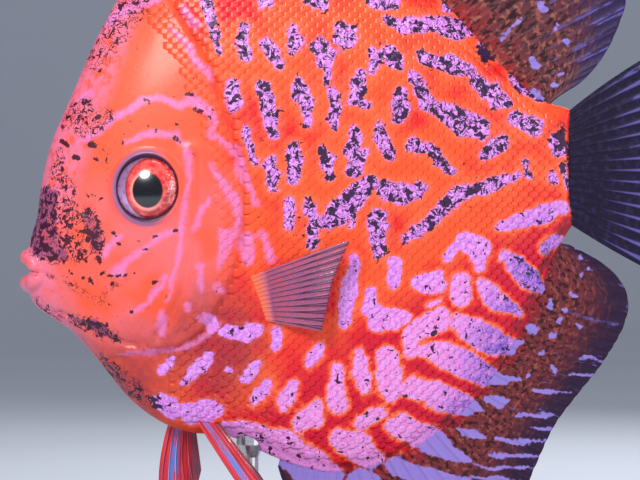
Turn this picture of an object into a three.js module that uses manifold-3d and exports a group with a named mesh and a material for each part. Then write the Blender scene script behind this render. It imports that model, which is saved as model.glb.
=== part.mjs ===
// A life-size discus (Symphysodon), a cichlid with a tall, flat, round body, as a still display model
// that swims nose to -X, a little nose down, on a plain stand.
// Millimetres, +Z up. The fish's left side faces -Y. The origin is the middle of the base's underside.
import * as THREE from "three";
import { mergeVertices } from "three/addons/utils/BufferGeometryUtils.js";
import Module from "manifold-3d";

// Driving dimensions
const GAP = 0.3; // clearance that touching pieces keep
const TAIL_BASE_X = 56; // where the tail fin leaves the body
const STALK_X = 45; // where the tail stalk is parted from the trunk
const MEMBRANE = 0.6; // thickness of a fin's membrane
const FIN_ROOT = 3; // thickness of the body's rim and of the fin that stands on it
const BROW_RIM = 5.6; // thickness of the rim over the brow and under the throat
const COVER_STEP = 0.8; // how far the head and gill cover stand proud of the trunk behind them

// The outline as [x, z], from the upper lip over the brow and back to the tail
const TOP_LINE = [
  [-70, 97.6], [-69.4, 100.8], [-68.2, 104.6], [-67, 113], [-64.7, 122.5], [-60, 133.6], [-53.1, 149.1],
  [-48.2, 156.6], [-38.8, 166.3], [-27, 171.9], [-14.1, 174], [0, 171.9], [14.1, 165.3], [25.9, 155.2],
  [42.3, 137.6], [49.4, 131.6], [TAIL_BASE_X, 129.4],
];
// The outline from the chin under the belly to the tail
const BELLY_LINE = [
  [-70.4, 88.8], [-68.6, 85.2], [-64.4, 82.1], [-60.6, 79.6], [-54.5, 73], [-46.1, 62.9], [-38.3, 57.4],
  [-31.7, 55.4], [-25.4, 55], [-18.3, 52.8], [-7.1, 48.2], [2.4, 46.6], [14.1, 49.5], [25.9, 56.5],
  [35.3, 65.9], [42.3, 76.5], [48.2, 88.3], [51.8, 97.7], [TAIL_BASE_X, 104.6],
];
// Half the body's thickness along its middle, from the snout to the tail
const THICKNESS = [
  [-72, 4], [-66, 6.4], [-58, 9.3], [-48, 11.4], [-36, 12.5], [-20, 13], [-4, 12.7], [14, 11.2], [30, 8.6],
  [42, 5.8], [50, 3.6], [TAIL_BASE_X, 2.3],
];
// The hind edge of the gill cover, from above the nape to below the throat
const GILL_EDGE = [
  [-46.5, 172], [-42.3, 163.5], [-35.7, 152.9], [-29.4, 142.3], [-24.6, 130], [-21.6, 118], [-20.4, 106],
  [-21.9, 95.3], [-25.4, 85.9], [-30.5, 78.4], [-37.6, 74.6], [-47, 73.6], [-54.5, 72.2], [-64, 68],
];
const EYE = { x: -42.1, z: 112, radius: 7.4, dome: 2.2, depth: 6, waist: 1.2, forward: 0.14, up: 0.06 };
const NOSTRIL = { x: -56, z: 107, radius: 0.9, depth: 1.8 };
const LIP_CORNER = { x: -66.8, y: 5.2, z: 91.4 };
const UPPER_LIP = { x: -71.1, z: 96, radius: 1.7 };
const LOWER_LIP = { x: -70.7, z: 89.8, radius: 2.1 };

const wasm = await Module();
wasm.setup();

const { lerp, smoothstep, clamp } = THREE.MathUtils;

// A smooth curve in the fish's middle plane through [x, z] points
function planeCurve(points) {
  const made = new THREE.CatmullRomCurve3(points.map(([x, z]) => new THREE.Vector3(x, 0, z)));
  made.arcLengthDivisions = 600;
  return made;
}

const topCurve = planeCurve(TOP_LINE);
const bellyCurve = planeCurve(BELLY_LINE);
const thicknessPoints = planeCurve(THICKNESS).getPoints(300);

// Half the thickness of the body's middle at one x
function middleHalf(x) {
  const after = thicknessPoints.findIndex((p) => p.x >= x);
  if (after === 0) return thicknessPoints[0].z;
  if (after < 0) return thicknessPoints.at(-1).z;
  const a = thicknessPoints[after - 1];
  const b = thicknessPoints[after];
  return lerp(a.z, b.z, (x - a.x) / (b.x - a.x));
}

// A closed solid from a geometry, with its faces turned to point out
function solidOf(geometry) {
  const bare = new THREE.BufferGeometry().setAttribute("position", geometry.getAttribute("position"));
  if (geometry.index) bare.setIndex(geometry.index);
  const merged = mergeVertices(bare, 1e-4);
  const triVerts = new Uint32Array(merged.index.array);
  const vertProperties = new Float32Array(merged.attributes.position.array);
  const made = new wasm.Manifold(new wasm.Mesh({ numProp: 3, vertProperties, triVerts }));
  if (made.volume() > 0) return made;
  for (let i = 0; i < triVerts.length; i += 3) [triVerts[i + 1], triVerts[i + 2]] = [triVerts[i + 2], triVerts[i + 1]];
  return new wasm.Manifold(new wasm.Mesh({ numProp: 3, vertProperties, triVerts }));
}

// The largest closed body of a solid, as a geometry
function largest(solid) {
  const best = solid.decompose().reduce((a, b) => (b.volume() > a.volume() ? b : a));
  const mesh = best.getMesh();
  return new THREE.BufferGeometry()
    .setAttribute("position", new THREE.BufferAttribute(new Float32Array(mesh.vertProperties), 3))
    .setIndex(new THREE.BufferAttribute(new Uint32Array(mesh.triVerts), 1));
}

// A closed skin over rings of equal count, with a fan over each end
function loft(rings) {
  const count = rings[0].length;
  const positions = rings.flat().flatMap((p) => [p.x, p.y, p.z]);
  const faces = [];
  for (let i = 0; i + 1 < rings.length; i++) {
    for (let j = 0; j < count; j++) {
      const a = i * count + j;
      const b = i * count + ((j + 1) % count);
      faces.push(a, b, b + count, a, b + count, a + count);
    }
  }
  const ends = [[rings[0], 0, true], [rings.at(-1), (rings.length - 1) * count, false]];
  for (const [ring, first, turned] of ends) {
    const middle = ring.reduce((sum, p) => sum.add(p), new THREE.Vector3()).divideScalar(count);
    const centre = positions.length / 3;
    positions.push(middle.x, middle.y, middle.z);
    for (let j = 0; j < count; j++) {
      const a = first + j;
      const b = first + ((j + 1) % count);
      faces.push(centre, turned ? b : a, turned ? a : b);
    }
  }
  return new THREE.BufferGeometry()
    .setAttribute("position", new THREE.Float32BufferAttribute(positions, 3))
    .setIndex(faces);
}

// The point at share s of an outline curve, moved outwards by `grow`
function outlinePoint(curve, s, grow) {
  const p = curve.getPointAt(s);
  const t = curve.getTangentAt(s);
  const side = curve === topCurve ? 1 : -1;
  return new THREE.Vector3(p.x - side * t.z * grow, 0, p.z + side * t.x * grow);
}

// Half the thickness at share s along the body and share v from the back down to the belly
function halfThickness(s, v, x) {
  const across = 2 * v - 1;
  const brow = 1 - smoothstep(s, 0.24, 0.36);
  const rim = lerp(FIN_ROOT, BROW_RIM, brow * smoothstep(Math.abs(across), 0, 1)) / 2;
  const crown = Math.pow(1 - Math.pow(Math.abs(across), 2.2), 0.72);
  return rim + Math.max(0, middleHalf(x) - rim) * crown;
}

// The cross-section that passes through a point of the middle plane, and the point's share v on it
function halfThicknessAt(x, z) {
  let low = 0;
  let high = 1;
  for (let i = 0; i < 30; i++) {
    const s = (low + high) / 2;
    const t = topCurve.getPointAt(s);
    const b = bellyCurve.getPointAt(s);
    if ((b.x - t.x) * (z - t.z) - (b.z - t.z) * (x - t.x) > 0) low = s;
    else high = s;
  }
  const t = topCurve.getPointAt(low);
  const b = bellyCurve.getPointAt(low);
  return halfThickness(low, clamp((z - t.z) / (b.z - t.z), 0, 1), x);
}

// The whole body without fins, grown all round by `grow` and thickened by `proud`
function bodySolid({ grow = 0, proud = 0 } = {}) {
  const STATIONS = 48;
  const ROWS = 12;
  const ROUND_RIM = 0.9; // how far the rim bulges where no fin stands on it
  const rings = [];
  for (let i = 0; i <= STATIONS; i++) {
    const s = Math.pow(i / STATIONS, 1.12);
    const top = outlinePoint(topCurve, s, grow);
    const belly = outlinePoint(bellyCurve, s, grow);
    const brow = 1 - smoothstep(s, 0.3, 0.34);
    const breast = 1 - smoothstep(s, 0.36, 0.4);
    const faces = [];
    for (let k = 0; k <= ROWS; k++) {
      const v = (1 - Math.cos((Math.PI * k) / ROWS)) / 2;
      const p = top.clone().lerp(belly, v);
      p.y = -(halfThickness(s, v, p.x) + grow + proud * Math.sin(Math.PI * v));
      faces.push(p);
    }
    const ridge = outlinePoint(topCurve, s, grow + ROUND_RIM * brow);
    const keel = outlinePoint(bellyCurve, s, grow + ROUND_RIM * breast);
    const mirrored = faces.map((p) => new THREE.Vector3(p.x, -p.y, p.z)).reverse();
    rings.push([ridge, ...faces, keel, ...mirrored]);
  }
  if (grow > 0) {
    rings[0].forEach((p) => (p.x -= grow));
    rings.at(-1).forEach((p) => (p.x += grow));
  }
  return solidOf(loft(rings));
}

// A prism across the body, from an outline of [x, z] points
function prismAcross(points) {
  const HALF_WIDTH = 60;
  const shape = new THREE.Shape(points.map(([x, z]) => new THREE.Vector2(x, z)));
  const geometry = new THREE.ExtrudeGeometry(shape, { depth: 2 * HALF_WIDTH, bevelEnabled: false });
  return solidOf(geometry.rotateX(Math.PI / 2).translate(0, HALF_WIDTH, 0));
}

// The part of the middle plane in front of the gill cover's edge, moved back by `shift`
function aheadOfGill(shift) {
  const edge = planeCurve(GILL_EDGE).getPoints(40).map((p) => [p.x + shift, p.z - shift]);
  return [[-100, 172], ...edge, [-100, 68]];
}

// A lip: a rolled bar round the front of a jaw, thickest in the middle
function lip({ x, z, radius }) {
  const STEPS = 18;
  const SIDES = 10;
  const side = (turn) => [
    new THREE.Vector3(LIP_CORNER.x, turn * LIP_CORNER.y, LIP_CORNER.z),
    new THREE.Vector3(lerp(LIP_CORNER.x, x, 0.6), turn * 4.5, lerp(LIP_CORNER.z, z, 0.75)),
    new THREE.Vector3(x + 0.6, turn * 2.4, z),
  ];
  const curve = new THREE.CatmullRomCurve3([...side(-1), new THREE.Vector3(x, 0, z), ...side(1).reverse()]);
  const frames = curve.computeFrenetFrames(STEPS, false);
  const rings = [];
  for (let i = 0; i <= STEPS; i++) {
    const thick = radius * (0.5 + 0.5 * Math.sin((Math.PI * i) / STEPS));
    const ring = [];
    for (let j = 0; j < SIDES; j++) {
      const turn = (2 * Math.PI * j) / SIDES;
      const point = curve.getPointAt(i / STEPS);
      point.addScaledVector(frames.normals[i], Math.cos(turn) * thick);
      ring.push(point.addScaledVector(frames.binormals[i], Math.sin(turn) * thick));
    }
    rings.push(ring);
  }
  return solidOf(loft(rings));
}

// Turns a form made along +Y to look out of one side of the head, and sets it at the eye
function setAtEye(geometry, side, out) {
  const outward = new THREE.Vector3(-EYE.forward, side, EYE.up).normalize();
  geometry.applyQuaternion(new THREE.Quaternion().setFromUnitVectors(new THREE.Vector3(0, 1, 0), outward));
  const seat = halfThicknessAt(EYE.x, EYE.z) + COVER_STEP + out;
  return solidOf(geometry.translate(EYE.x, side * seat, EYE.z));
}

// Eye: a flattened ball with a low dome
function eyeSolid(grow, side) {
  const STEPS = 7;
  const back = -EYE.depth - grow;
  const profile = [[0, back], [EYE.radius * 0.75 + grow, back]];
  for (let i = 0; i <= STEPS; i++) {
    const angle = (Math.PI / 2) * (i / STEPS);
    const r = i === STEPS ? 0 : Math.cos(angle) * (EYE.radius + grow);
    profile.push([r, -EYE.waist + Math.sin(angle) * (EYE.dome + EYE.waist + grow)]);
  }
  return setAtEye(new THREE.LatheGeometry(profile.map(([r, h]) => new THREE.Vector2(r, h)), 28), side, -0.4);
}

// The low ring of skin round the eye
function orbitRim(side) {
  const ring = new THREE.TorusGeometry(EYE.radius + 0.2, 0.9, 8, 28);
  return setAtEye(ring.rotateX(Math.PI / 2), side, -0.3);
}

// Nostril: one small pit on each side, ahead of the eye
function nostril(side) {
  const pit = new THREE.CylinderGeometry(NOSTRIL.radius, NOSTRIL.radius, NOSTRIL.depth * 2, 10);
  const seat = halfThicknessAt(NOSTRIL.x, NOSTRIL.z) + COVER_STEP;
  return solidOf(pit.translate(NOSTRIL.x, side * seat, NOSTRIL.z));
}

// A fin. `root(u)` and `margin(u)` are the ends of the ray at share u of the fin's length. Each ray is a
// ridge on both faces of the membrane, and the thick foot thins out quickly towards the margin.
function finSolid({ rays, root, margin, bow, rootThick, rayThick, faceOut }) {
  const ROWS = 6;
  const RIDGE_SHARE = 0.26; // half a ridge's width as a share of the distance between rays
  const columns = [];
  for (let r = 0; r < rays; r++) {
    for (const [offset, ridge] of [[-RIDGE_SHARE, 0], [0, 1], [RIDGE_SHARE, 0]]) {
      const u = clamp((r + offset + 0.3) / (rays - 0.4), 0, 1);
      const start = root(u);
      const end = margin(u, ridge);
      const middle = start.clone().lerp(end, 0.5).add(bow(u));
      const curve = new THREE.QuadraticBezierCurve3(start, middle, end);
      const column = [];
      for (let k = 0; k <= ROWS; k++) {
        const v = k / ROWS;
        const ray = ridge * rayThick * (1 - 0.75 * v);
        const foot = (rootThick - MEMBRANE) * Math.pow(1 - v, 5);
        const half = (MEMBRANE + Math.max(ray, foot)) / 2;
        const p = curve.getPoint(v);
        column.push([p.clone().addScaledVector(faceOut, -half), p.clone().addScaledVector(faceOut, half)]);
      }
      columns.push(column);
    }
  }
  const positions = columns.flat(2).flatMap((p) => [p.x, p.y, p.z]);
  const at = (i, k, face) => (i * (ROWS + 1) + k) * 2 + face;
  const faces = [];
  const quad = (a, b, c, d) => faces.push(a, b, c, a, c, d);
  const last = columns.length - 1;
  for (let i = 0; i < last; i++) {
    for (let k = 0; k < ROWS; k++) {
      quad(at(i, k, 0), at(i + 1, k, 0), at(i + 1, k + 1, 0), at(i, k + 1, 0));
      faces.push(at(i, k, 1), at(i + 1, k + 1, 1), at(i + 1, k, 1));
      faces.push(at(i, k, 1), at(i, k + 1, 1), at(i + 1, k + 1, 1));
    }
    quad(at(i, 0, 0), at(i, 0, 1), at(i + 1, 0, 1), at(i + 1, 0, 0));
    quad(at(i, ROWS, 0), at(i + 1, ROWS, 0), at(i + 1, ROWS, 1), at(i, ROWS, 1));
  }
  for (let k = 0; k < ROWS; k++) {
    quad(at(0, k, 0), at(0, k + 1, 0), at(0, k + 1, 1), at(0, k, 1));
    quad(at(last, k, 0), at(last, k, 1), at(last, k + 1, 1), at(last, k + 1, 0));
  }
  const geometry = new THREE.BufferGeometry();
  geometry.setAttribute("position", new THREE.Float32BufferAttribute(positions, 3));
  return solidOf(geometry.setIndex(faces));
}

// A share along one curve as a share along another, from pairs of shares
function shareAlong(pairs, u) {
  const i = Math.max(1, pairs.findIndex(([from]) => from >= u));
  const [u0, w0] = pairs[i - 1];
  const [u1, w1] = pairs[i];
  return lerp(w0, w1, (u - u0) / (u1 - u0));
}

// The share of an outline curve that lies nearest to a point [x, z]
function shareNear(curve, [x, z]) {
  const STEPS = 800;
  const target = new THREE.Vector3(x, 0, z);
  let best = 0;
  for (let i = 1; i <= STEPS; i++) {
    const nearer = curve.getPointAt(i / STEPS).distanceTo(target) < curve.getPointAt(best).distanceTo(target);
    if (nearer) best = i / STEPS;
  }
  return best;
}

// The stretch from share `start` to share `end` of a fin in the middle plane, standing on the outline
function middleFin({ curve, foot, marginLine, pairs, start, end, rays, sag }) {
  const SPINE_TIP = 1; // how far the front spines stand out past the membrane
  const marginCurve = planeCurve(marginLine);
  const [from, to] = foot.map((point) => shareNear(curve, point));
  const side = curve === topCurve ? 1 : -1;
  const whole = (u) => lerp(start, end, u);
  return finSolid({
    rays,
    rootThick: FIN_ROOT,
    rayThick: 0.7,
    faceOut: new THREE.Vector3(0, 1, 0),
    root: (u) => outlinePoint(curve, lerp(from, to, whole(u)), GAP),
    margin: (u, ridge) => {
      const share = clamp(shareAlong(pairs, whole(u)), 0, 1);
      const p = marginCurve.getPointAt(share);
      const t = marginCurve.getTangentAt(share);
      const tip = ridge * SPINE_TIP * (1 - smoothstep(whole(u), 0.3, 0.45));
      return new THREE.Vector3(p.x - side * t.z * tip, 0, p.z + side * t.x * tip);
    },
    bow: (u) => new THREE.Vector3(0, 0, side * sag * Math.sin(Math.PI * whole(u))),
  });
}

// Dorsal fin: a low spiny front that rises into a long soft lobe
const DORSAL = {
  curve: topCurve,
  foot: [[-42.3, 163.5], [50.5, 131]],
  marginLine: [
    [-41.4, 167], [-36.4, 174], [-27, 181.1], [-14.1, 186.5], [0, 188.8], [16.5, 189.8], [32.9, 189.3],
    [49.4, 186.5], [63.5, 178.7], [70, 168.2], [69.6, 156.4], [67.7, 150.3], [64.4, 143.5], [59, 137.1],
    [53, 133.4],
  ],
  pairs: [[0, 0], [0.25, 0.25], [0.5, 0.47], [0.7, 0.66], [0.85, 0.8], [0.95, 0.905], [1, 1]],
  sag: 2.5,
};
// Anal fin: the dorsal's counterpart under the body
const ANAL = {
  curve: bellyCurve,
  foot: [[-11.8, 49.6], [52.2, 99.5]],
  marginLine: [
    [-12.3, 46.6], [-10.8, 42.5], [-7.1, 35.4], [0, 28.3], [11.8, 24.3], [25.9, 24.8], [37.6, 30.7],
    [44.7, 38.9], [47.9, 46], [52.9, 56.5], [58.5, 64], [63.9, 70.9], [69.2, 80.5], [70, 85.9],
    [68.2, 90.4], [63.9, 94.6], [56.2, 98.9],
  ],
  pairs: [[0, 0], [0.25, 0.32], [0.5, 0.565], [0.7, 0.725], [0.85, 0.815], [1, 1]],
  sag: 2.5,
};

// Tail fin: a wide fan with a gently rounded hind edge
function tailFin() {
  const rear = planeCurve([
    [80.4, 146.5], [85.8, 137.6], [87.9, 128.2], [88.4, 117.6], [87.7, 107.1], [85.8, 96.5], [83, 89],
  ]);
  return finSolid({
    rays: 14,
    rootThick: FIN_ROOT,
    rayThick: 0.8,
    faceOut: new THREE.Vector3(0, 1, 0),
    root: (u) => new THREE.Vector3(TAIL_BASE_X + GAP, 0, lerp(129, 105, u)),
    margin: (u) => rear.getPointAt(u),
    bow: (u) => new THREE.Vector3(0, 0, lerp(2, -1.5, u)),
  });
}

// A point over the left (-1) or right (1) flank, `out` away from its surface
function onFlank(p, side, out) {
  return new THREE.Vector3(p.x, side * (halfThicknessAt(p.x, p.z) + out), p.z);
}

// Pectoral fin: a clear fan behind the gill cover, its hind edge standing off the flank
function pectoralFin(side) {
  const LIFT = 6; // how far the hind edge stands off
  const root = planeCurve([[-18.8, 91.5], [-16.8, 86.5], [-15.1, 81.4]]);
  const rear = planeCurve([[4.5, 100.2], [2.4, 94.8], [0.2, 89.4], [-0.6, 85], [-1.9, 79]]);
  return finSolid({
    rays: 10,
    rootThick: 1.6,
    rayThick: 0.6,
    faceOut: new THREE.Vector3(0.28, side, 0).normalize(),
    root: (u) => onFlank(root.getPointAt(u), side, -1.2),
    margin: (u) => onFlank(rear.getPointAt(u), side, lerp(LIFT, LIFT * 0.8, u)),
    bow: () => new THREE.Vector3(0, side * 1.2, 0),
  });
}

// Pelvic fin: a pointed blade under the breast, with a strong first spine
function pelvicFin({ side, rootLine, tipLine, forward }) {
  const SPREAD = [13, 9]; // how far the first and the last ray's tips stand off the middle plane
  const root = planeCurve(rootLine);
  const tips = planeCurve(tipLine);
  return finSolid({
    rays: 6,
    rootThick: 1.8,
    rayThick: 0.9,
    faceOut: new THREE.Vector3(0, side, 0.25).normalize(),
    root: (u) => onFlank(root.getPointAt(u), side, -0.8),
    margin: (u) => tips.getPointAt(u).setY(side * lerp(...SPREAD, u)),
    bow: (u) => new THREE.Vector3(-forward * (1 - u), side * 0.8, 0),
  });
}
const PELVIC_FINS = {
  pelvic_fin_left: {
    side: -1,
    rootLine: [[-31, 57.4], [-28.2, 57], [-25.6, 56.8]],
    tipLine: [[-7, 23.6], [-9, 30], [-11.4, 36.5], [-13.6, 41.5], [-16, 45.5]],
    forward: 1,
  },
  pelvic_fin_right: {
    side: 1,
    rootLine: [[-37.4, 58.8], [-34.6, 57.8], [-32, 57.4]],
    tipLine: [[-39.5, 22], [-37, 27.5], [-34.5, 33.5], [-32.4, 39.5], [-30.6, 45]],
    forward: 5,
  },
};

// Stand: an oval base and one rod with a foot plate and a cup under the belly
const BASE = { length: 116, width: 74, height: 12, chamfer: 1.5 };
const ROD = { x: -18.8, radius: 2, foot: 7, footHeight: 2, cup: 3.2, cupHeight: 3, top: 55 };

function standBase() {
  const plan = new THREE.Shape().absellipse(0, 0, BASE.length / 2, BASE.width / 2, 0, Math.PI * 2);
  const geometry = new THREE.ExtrudeGeometry(plan, {
    depth: BASE.height - BASE.chamfer,
    bevelThickness: BASE.chamfer,
    bevelSize: BASE.chamfer,
    bevelOffset: -BASE.chamfer,
    bevelSegments: 2,
    curveSegments: 32,
  });
  return solidOf(geometry).subtract(prismAcross([[-80, -20], [80, -20], [80, 0], [-80, 0]]));
}

function standRod() {
  const bottom = BASE.height + GAP;
  const profile = [
    [0, bottom], [ROD.foot, bottom], [ROD.foot, bottom + ROD.footHeight * 0.6],
    [ROD.foot * 0.8, bottom + ROD.footHeight], [ROD.radius, bottom + ROD.footHeight * 1.4],
    [ROD.radius, ROD.top - ROD.cupHeight * 2], [ROD.cup, ROD.top - ROD.cupHeight], [ROD.cup, ROD.top], [0, ROD.top],
  ];
  const geometry = new THREE.LatheGeometry(profile.map(([r, h]) => new THREE.Vector2(r, h)), 20);
  return solidOf(geometry.rotateX(Math.PI / 2).translate(ROD.x, 0, 0));
}

const material = {
  skin: new THREE.MeshStandardMaterial({ name: "skin", color: 0xe8683c, roughness: 0.4 }),
  brownFin: new THREE.MeshStandardMaterial({ name: "brown_fin", color: 0x5a3440, roughness: 0.5 }),
  darkFin: new THREE.MeshStandardMaterial({ name: "dark_fin", color: 0x2a2348, roughness: 0.5 }),
  clearFin: new THREE.MeshStandardMaterial({ name: "clear_fin", color: 0xb07088, roughness: 0.4 }),
  pelvicFin: new THREE.MeshStandardMaterial({ name: "pelvic_fin", color: 0xc8405c, roughness: 0.4 }),
  eye: new THREE.MeshStandardMaterial({ name: "eye", color: 0xd8384c, roughness: 0.1 }),
  wood: new THREE.MeshStandardMaterial({ name: "wood", color: 0x2c211c, roughness: 0.5 }),
  steel: new THREE.MeshStandardMaterial({ name: "steel", color: 0xb8babd, roughness: 0.3, metalness: 1 }),
};

const fish = new THREE.Group();
function add(name, solid, look) {
  const mesh = new THREE.Mesh(largest(solid), look);
  mesh.name = name;
  fish.add(mesh);
}

// The flesh, parted at the gill cover's edge and at the tail stalk
const body = bodySolid();
const beforeGill = prismAcross(aheadOfGill(0));
const beforeGillWide = prismAcross(aheadOfGill(GAP));
const clearOfHead = bodySolid({ grow: GAP, proud: COVER_STEP }).intersect(beforeGillWide);
const clearOfBody = bodySolid({ grow: GAP }).add(clearOfHead);
const MOUTH_SLIT = [[-80, 92.4], [-68.2, 92.1], [-68.2, 92.7], [-80, 93.3]];

const head = bodySolid({ proud: COVER_STEP })
  .intersect(beforeGill)
  .add(lip(UPPER_LIP))
  .add(lip(LOWER_LIP))
  .add(orbitRim(-1))
  .add(orbitRim(1))
  .subtract(prismAcross(MOUTH_SLIT))
  .subtract(eyeSolid(GAP, -1))
  .subtract(eyeSolid(GAP, 1))
  .subtract(nostril(-1))
  .subtract(nostril(1));
const trunkBox = prismAcross([[-100, 0], [STALK_X, 0], [STALK_X, 220], [-100, 220]]);
const stalkBox = prismAcross([[STALK_X + GAP, 60], [90, 60], [90, 200], [STALK_X + GAP, 200]]);

add("head", head, material.skin);
add("trunk", body.intersect(trunkBox).subtract(beforeGillWide), material.skin);
add("tail_stalk", body.intersect(stalkBox), material.skin);
for (const [name, side] of [["left", -1], ["right", 1]]) {
  add("eye_" + name, eyeSolid(0, side), material.eye);
  add("pectoral_fin_" + name, pectoralFin(side).subtract(clearOfBody), material.clearFin);
}

add("dorsal_fin_front", middleFin({ ...DORSAL, start: 0, end: 0.43, rays: 11 }), material.skin);
add("dorsal_fin_rear", middleFin({ ...DORSAL, start: 0.435, end: 1, rays: 17 }), material.brownFin);
add("anal_fin_front", middleFin({ ...ANAL, start: 0, end: 0.45, rays: 11 }), material.skin);
add("anal_fin_rear", middleFin({ ...ANAL, start: 0.456, end: 1, rays: 15 }), material.brownFin);
add("tail_fin", tailFin(), material.darkFin);
for (const [name, sizes] of Object.entries(PELVIC_FINS)) {
  add(name, pelvicFin(sizes).subtract(clearOfBody), material.pelvicFin);
}

add("stand_base", standBase(), material.wood);
add("stand_rod", standRod().subtract(clearOfBody), material.steel);

export default fish;
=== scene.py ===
"""The looks of a life-size discus on a plain stand: skin, scales, fins, eyes, stand, floor and light.

Lengths are worked out in millimetres and turned into metres when a mesh is made. The fish's nose points
to -X and its left side, which the camera sees, to -Y. Its middle plane is y = 0.
"""
import math
import bpy
import numpy as np
from mathutils import Matrix, Vector


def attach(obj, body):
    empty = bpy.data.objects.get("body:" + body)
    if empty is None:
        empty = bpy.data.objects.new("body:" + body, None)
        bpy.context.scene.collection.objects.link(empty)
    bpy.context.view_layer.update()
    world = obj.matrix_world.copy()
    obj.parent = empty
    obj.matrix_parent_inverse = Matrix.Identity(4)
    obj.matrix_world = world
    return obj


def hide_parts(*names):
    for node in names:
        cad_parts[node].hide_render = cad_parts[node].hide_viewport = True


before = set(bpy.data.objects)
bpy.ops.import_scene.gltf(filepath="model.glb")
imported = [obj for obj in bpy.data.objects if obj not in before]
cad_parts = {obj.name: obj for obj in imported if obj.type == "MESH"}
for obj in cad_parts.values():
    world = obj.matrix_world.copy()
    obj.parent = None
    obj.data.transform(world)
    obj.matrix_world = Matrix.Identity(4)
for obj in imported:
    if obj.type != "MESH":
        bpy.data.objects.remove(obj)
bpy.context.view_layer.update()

# Sizes of the body, in millimetres, as its solids have them
MM = 0.001
TAIL_BASE_X = 56.0
FIN_ROOT = 3.0
BROW_RIM = 5.6
COVER_STEP = 0.8
BACK = [
    (-70, 97.6), (-69.4, 100.8), (-68.2, 104.6), (-67, 113), (-64.7, 122.5), (-60, 133.6), (-53.1, 149.1),
    (-48.2, 156.6), (-38.8, 166.3), (-27, 171.9), (-14.1, 174), (0, 171.9), (14.1, 165.3), (25.9, 155.2),
    (42.3, 137.6), (49.4, 131.6), (TAIL_BASE_X, 129.4),
]
BELLY = [
    (-70.4, 88.8), (-68.6, 85.2), (-64.4, 82.1), (-60.6, 79.6), (-54.5, 73), (-46.1, 62.9), (-38.3, 57.4),
    (-31.7, 55.4), (-25.4, 55), (-18.3, 52.8), (-7.1, 48.2), (2.4, 46.6), (14.1, 49.5), (25.9, 56.5),
    (35.3, 65.9), (42.3, 76.5), (48.2, 88.3), (51.8, 97.7), (TAIL_BASE_X, 104.6),
]
THICKNESS = [
    (-72, 4), (-66, 6.4), (-58, 9.3), (-48, 11.4), (-36, 12.5), (-20, 13), (-4, 12.7), (14, 11.2), (30, 8.6),
    (42, 5.8), (50, 3.6), (TAIL_BASE_X, 2.3),
]
GILL_EDGE = [
    (-46.5, 172), (-42.3, 163.5), (-35.7, 152.9), (-29.4, 142.3), (-24.6, 130), (-21.6, 118), (-20.4, 106),
    (-21.9, 95.3), (-25.4, 85.9), (-30.5, 78.4), (-37.6, 74.6), (-47, 73.6), (-54.5, 72.2), (-64, 68),
]
EYE_X, EYE_Z, EYE_RADIUS, EYE_DOME, EYE_DEPTH, EYE_WAIST = -42.1, 112.0, 7.4, 2.2, 6.0, 1.2
EYE_FORWARD, EYE_UP = 0.14, 0.06
NOSTRIL_X, NOSTRIL_Z, NOSTRIL_DEPTH = -56.0, 107.0, 0.9
LIP_CORNER = (-66.8, 5.2, 91.4)
UPPER_LIP = (-71.1, 96.0, 1.7)
LOWER_LIP = (-70.7, 89.8, 2.1)

# The coat: how deep the skin lies inside the solids, its mesh size, and the scales' places, spacing and size
SKIN_DEPTH = 0.15
SKIN_VOXEL = 0.61
SCALES_FROM_X, SCALES_FROM_Z = -50, 46.0
SCALE_STEP, SCALE_ROW = 2.5, 1.22
SCALE_LENGTH, SCALE_WIDTH, SCALE_PLATE = 2.9, 2.3, 0.03
SCALE_PATCH = 0.003

# The fins: feet and margins in millimetres, and which share of a margin each share of the foot reaches
FIN_SAG = 2.5
DORSAL_FOOT = [(-42.3, 163.5), (50.5, 131)]
DORSAL_MARGIN = [
    (-41.4, 167), (-36.4, 174), (-27, 181.1), (-14.1, 186.5), (0, 188.8), (16.5, 189.8), (32.9, 189.3),
    (49.4, 186.5), (63.5, 178.7), (70, 168.2), (69.6, 156.4), (67.7, 150.3), (64.4, 143.5), (59, 137.1),
    (53, 133.4),
]
DORSAL_PAIRS = [(0, 0), (0.25, 0.25), (0.5, 0.47), (0.7, 0.66), (0.85, 0.8), (0.95, 0.905), (1, 1)]
ANAL_FOOT = [(-11.8, 49.6), (52.2, 99.5)]
ANAL_MARGIN = [
    (-12.3, 46.6), (-10.8, 42.5), (-7.1, 35.4), (0, 28.3), (11.8, 24.3), (25.9, 24.8), (37.6, 30.7),
    (44.7, 38.9), (47.9, 46), (52.9, 56.5), (58.5, 64), (63.9, 70.9), (69.2, 80.5), (70, 85.9),
    (68.2, 90.4), (63.9, 94.6), (56.2, 98.9),
]
ANAL_PAIRS = [(0, 0), (0.25, 0.32), (0.5, 0.565), (0.7, 0.725), (0.85, 0.815), (1, 1)]
TAIL_MARGIN = [
    (80.4, 146.5), (85.8, 137.6), (87.9, 128.2), (88.4, 117.6), (87.7, 107.1), (85.8, 96.5), (83, 89),
]
PECTORAL_ROOT = [(-18.8, 91.5), (-16.8, 86.5), (-15.1, 81.4)]
PECTORAL_MARGIN = [(4.5, 100.2), (2.4, 94.8), (0.2, 89.4), (-0.6, 85), (-1.9, 79)]
# By side: root, tips and how far the spine bows forward. The left fin trails and the right one hangs
PELVIC = {
    -1: ([(-31, 57.4), (-28.2, 57), (-25.6, 56.8)],
         [(-7, 23.6), (-9, 30), (-11.4, 36.5), (-13.6, 41.5), (-16, 45.5)], 1.0),
    1: ([(-37.4, 58.8), (-34.6, 57.8), (-32, 57.4)],
        [(-39.5, 22), (-37, 27.5), (-34.5, 33.5), (-32.4, 39.5), (-30.6, 45)], 5.0),
}

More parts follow.
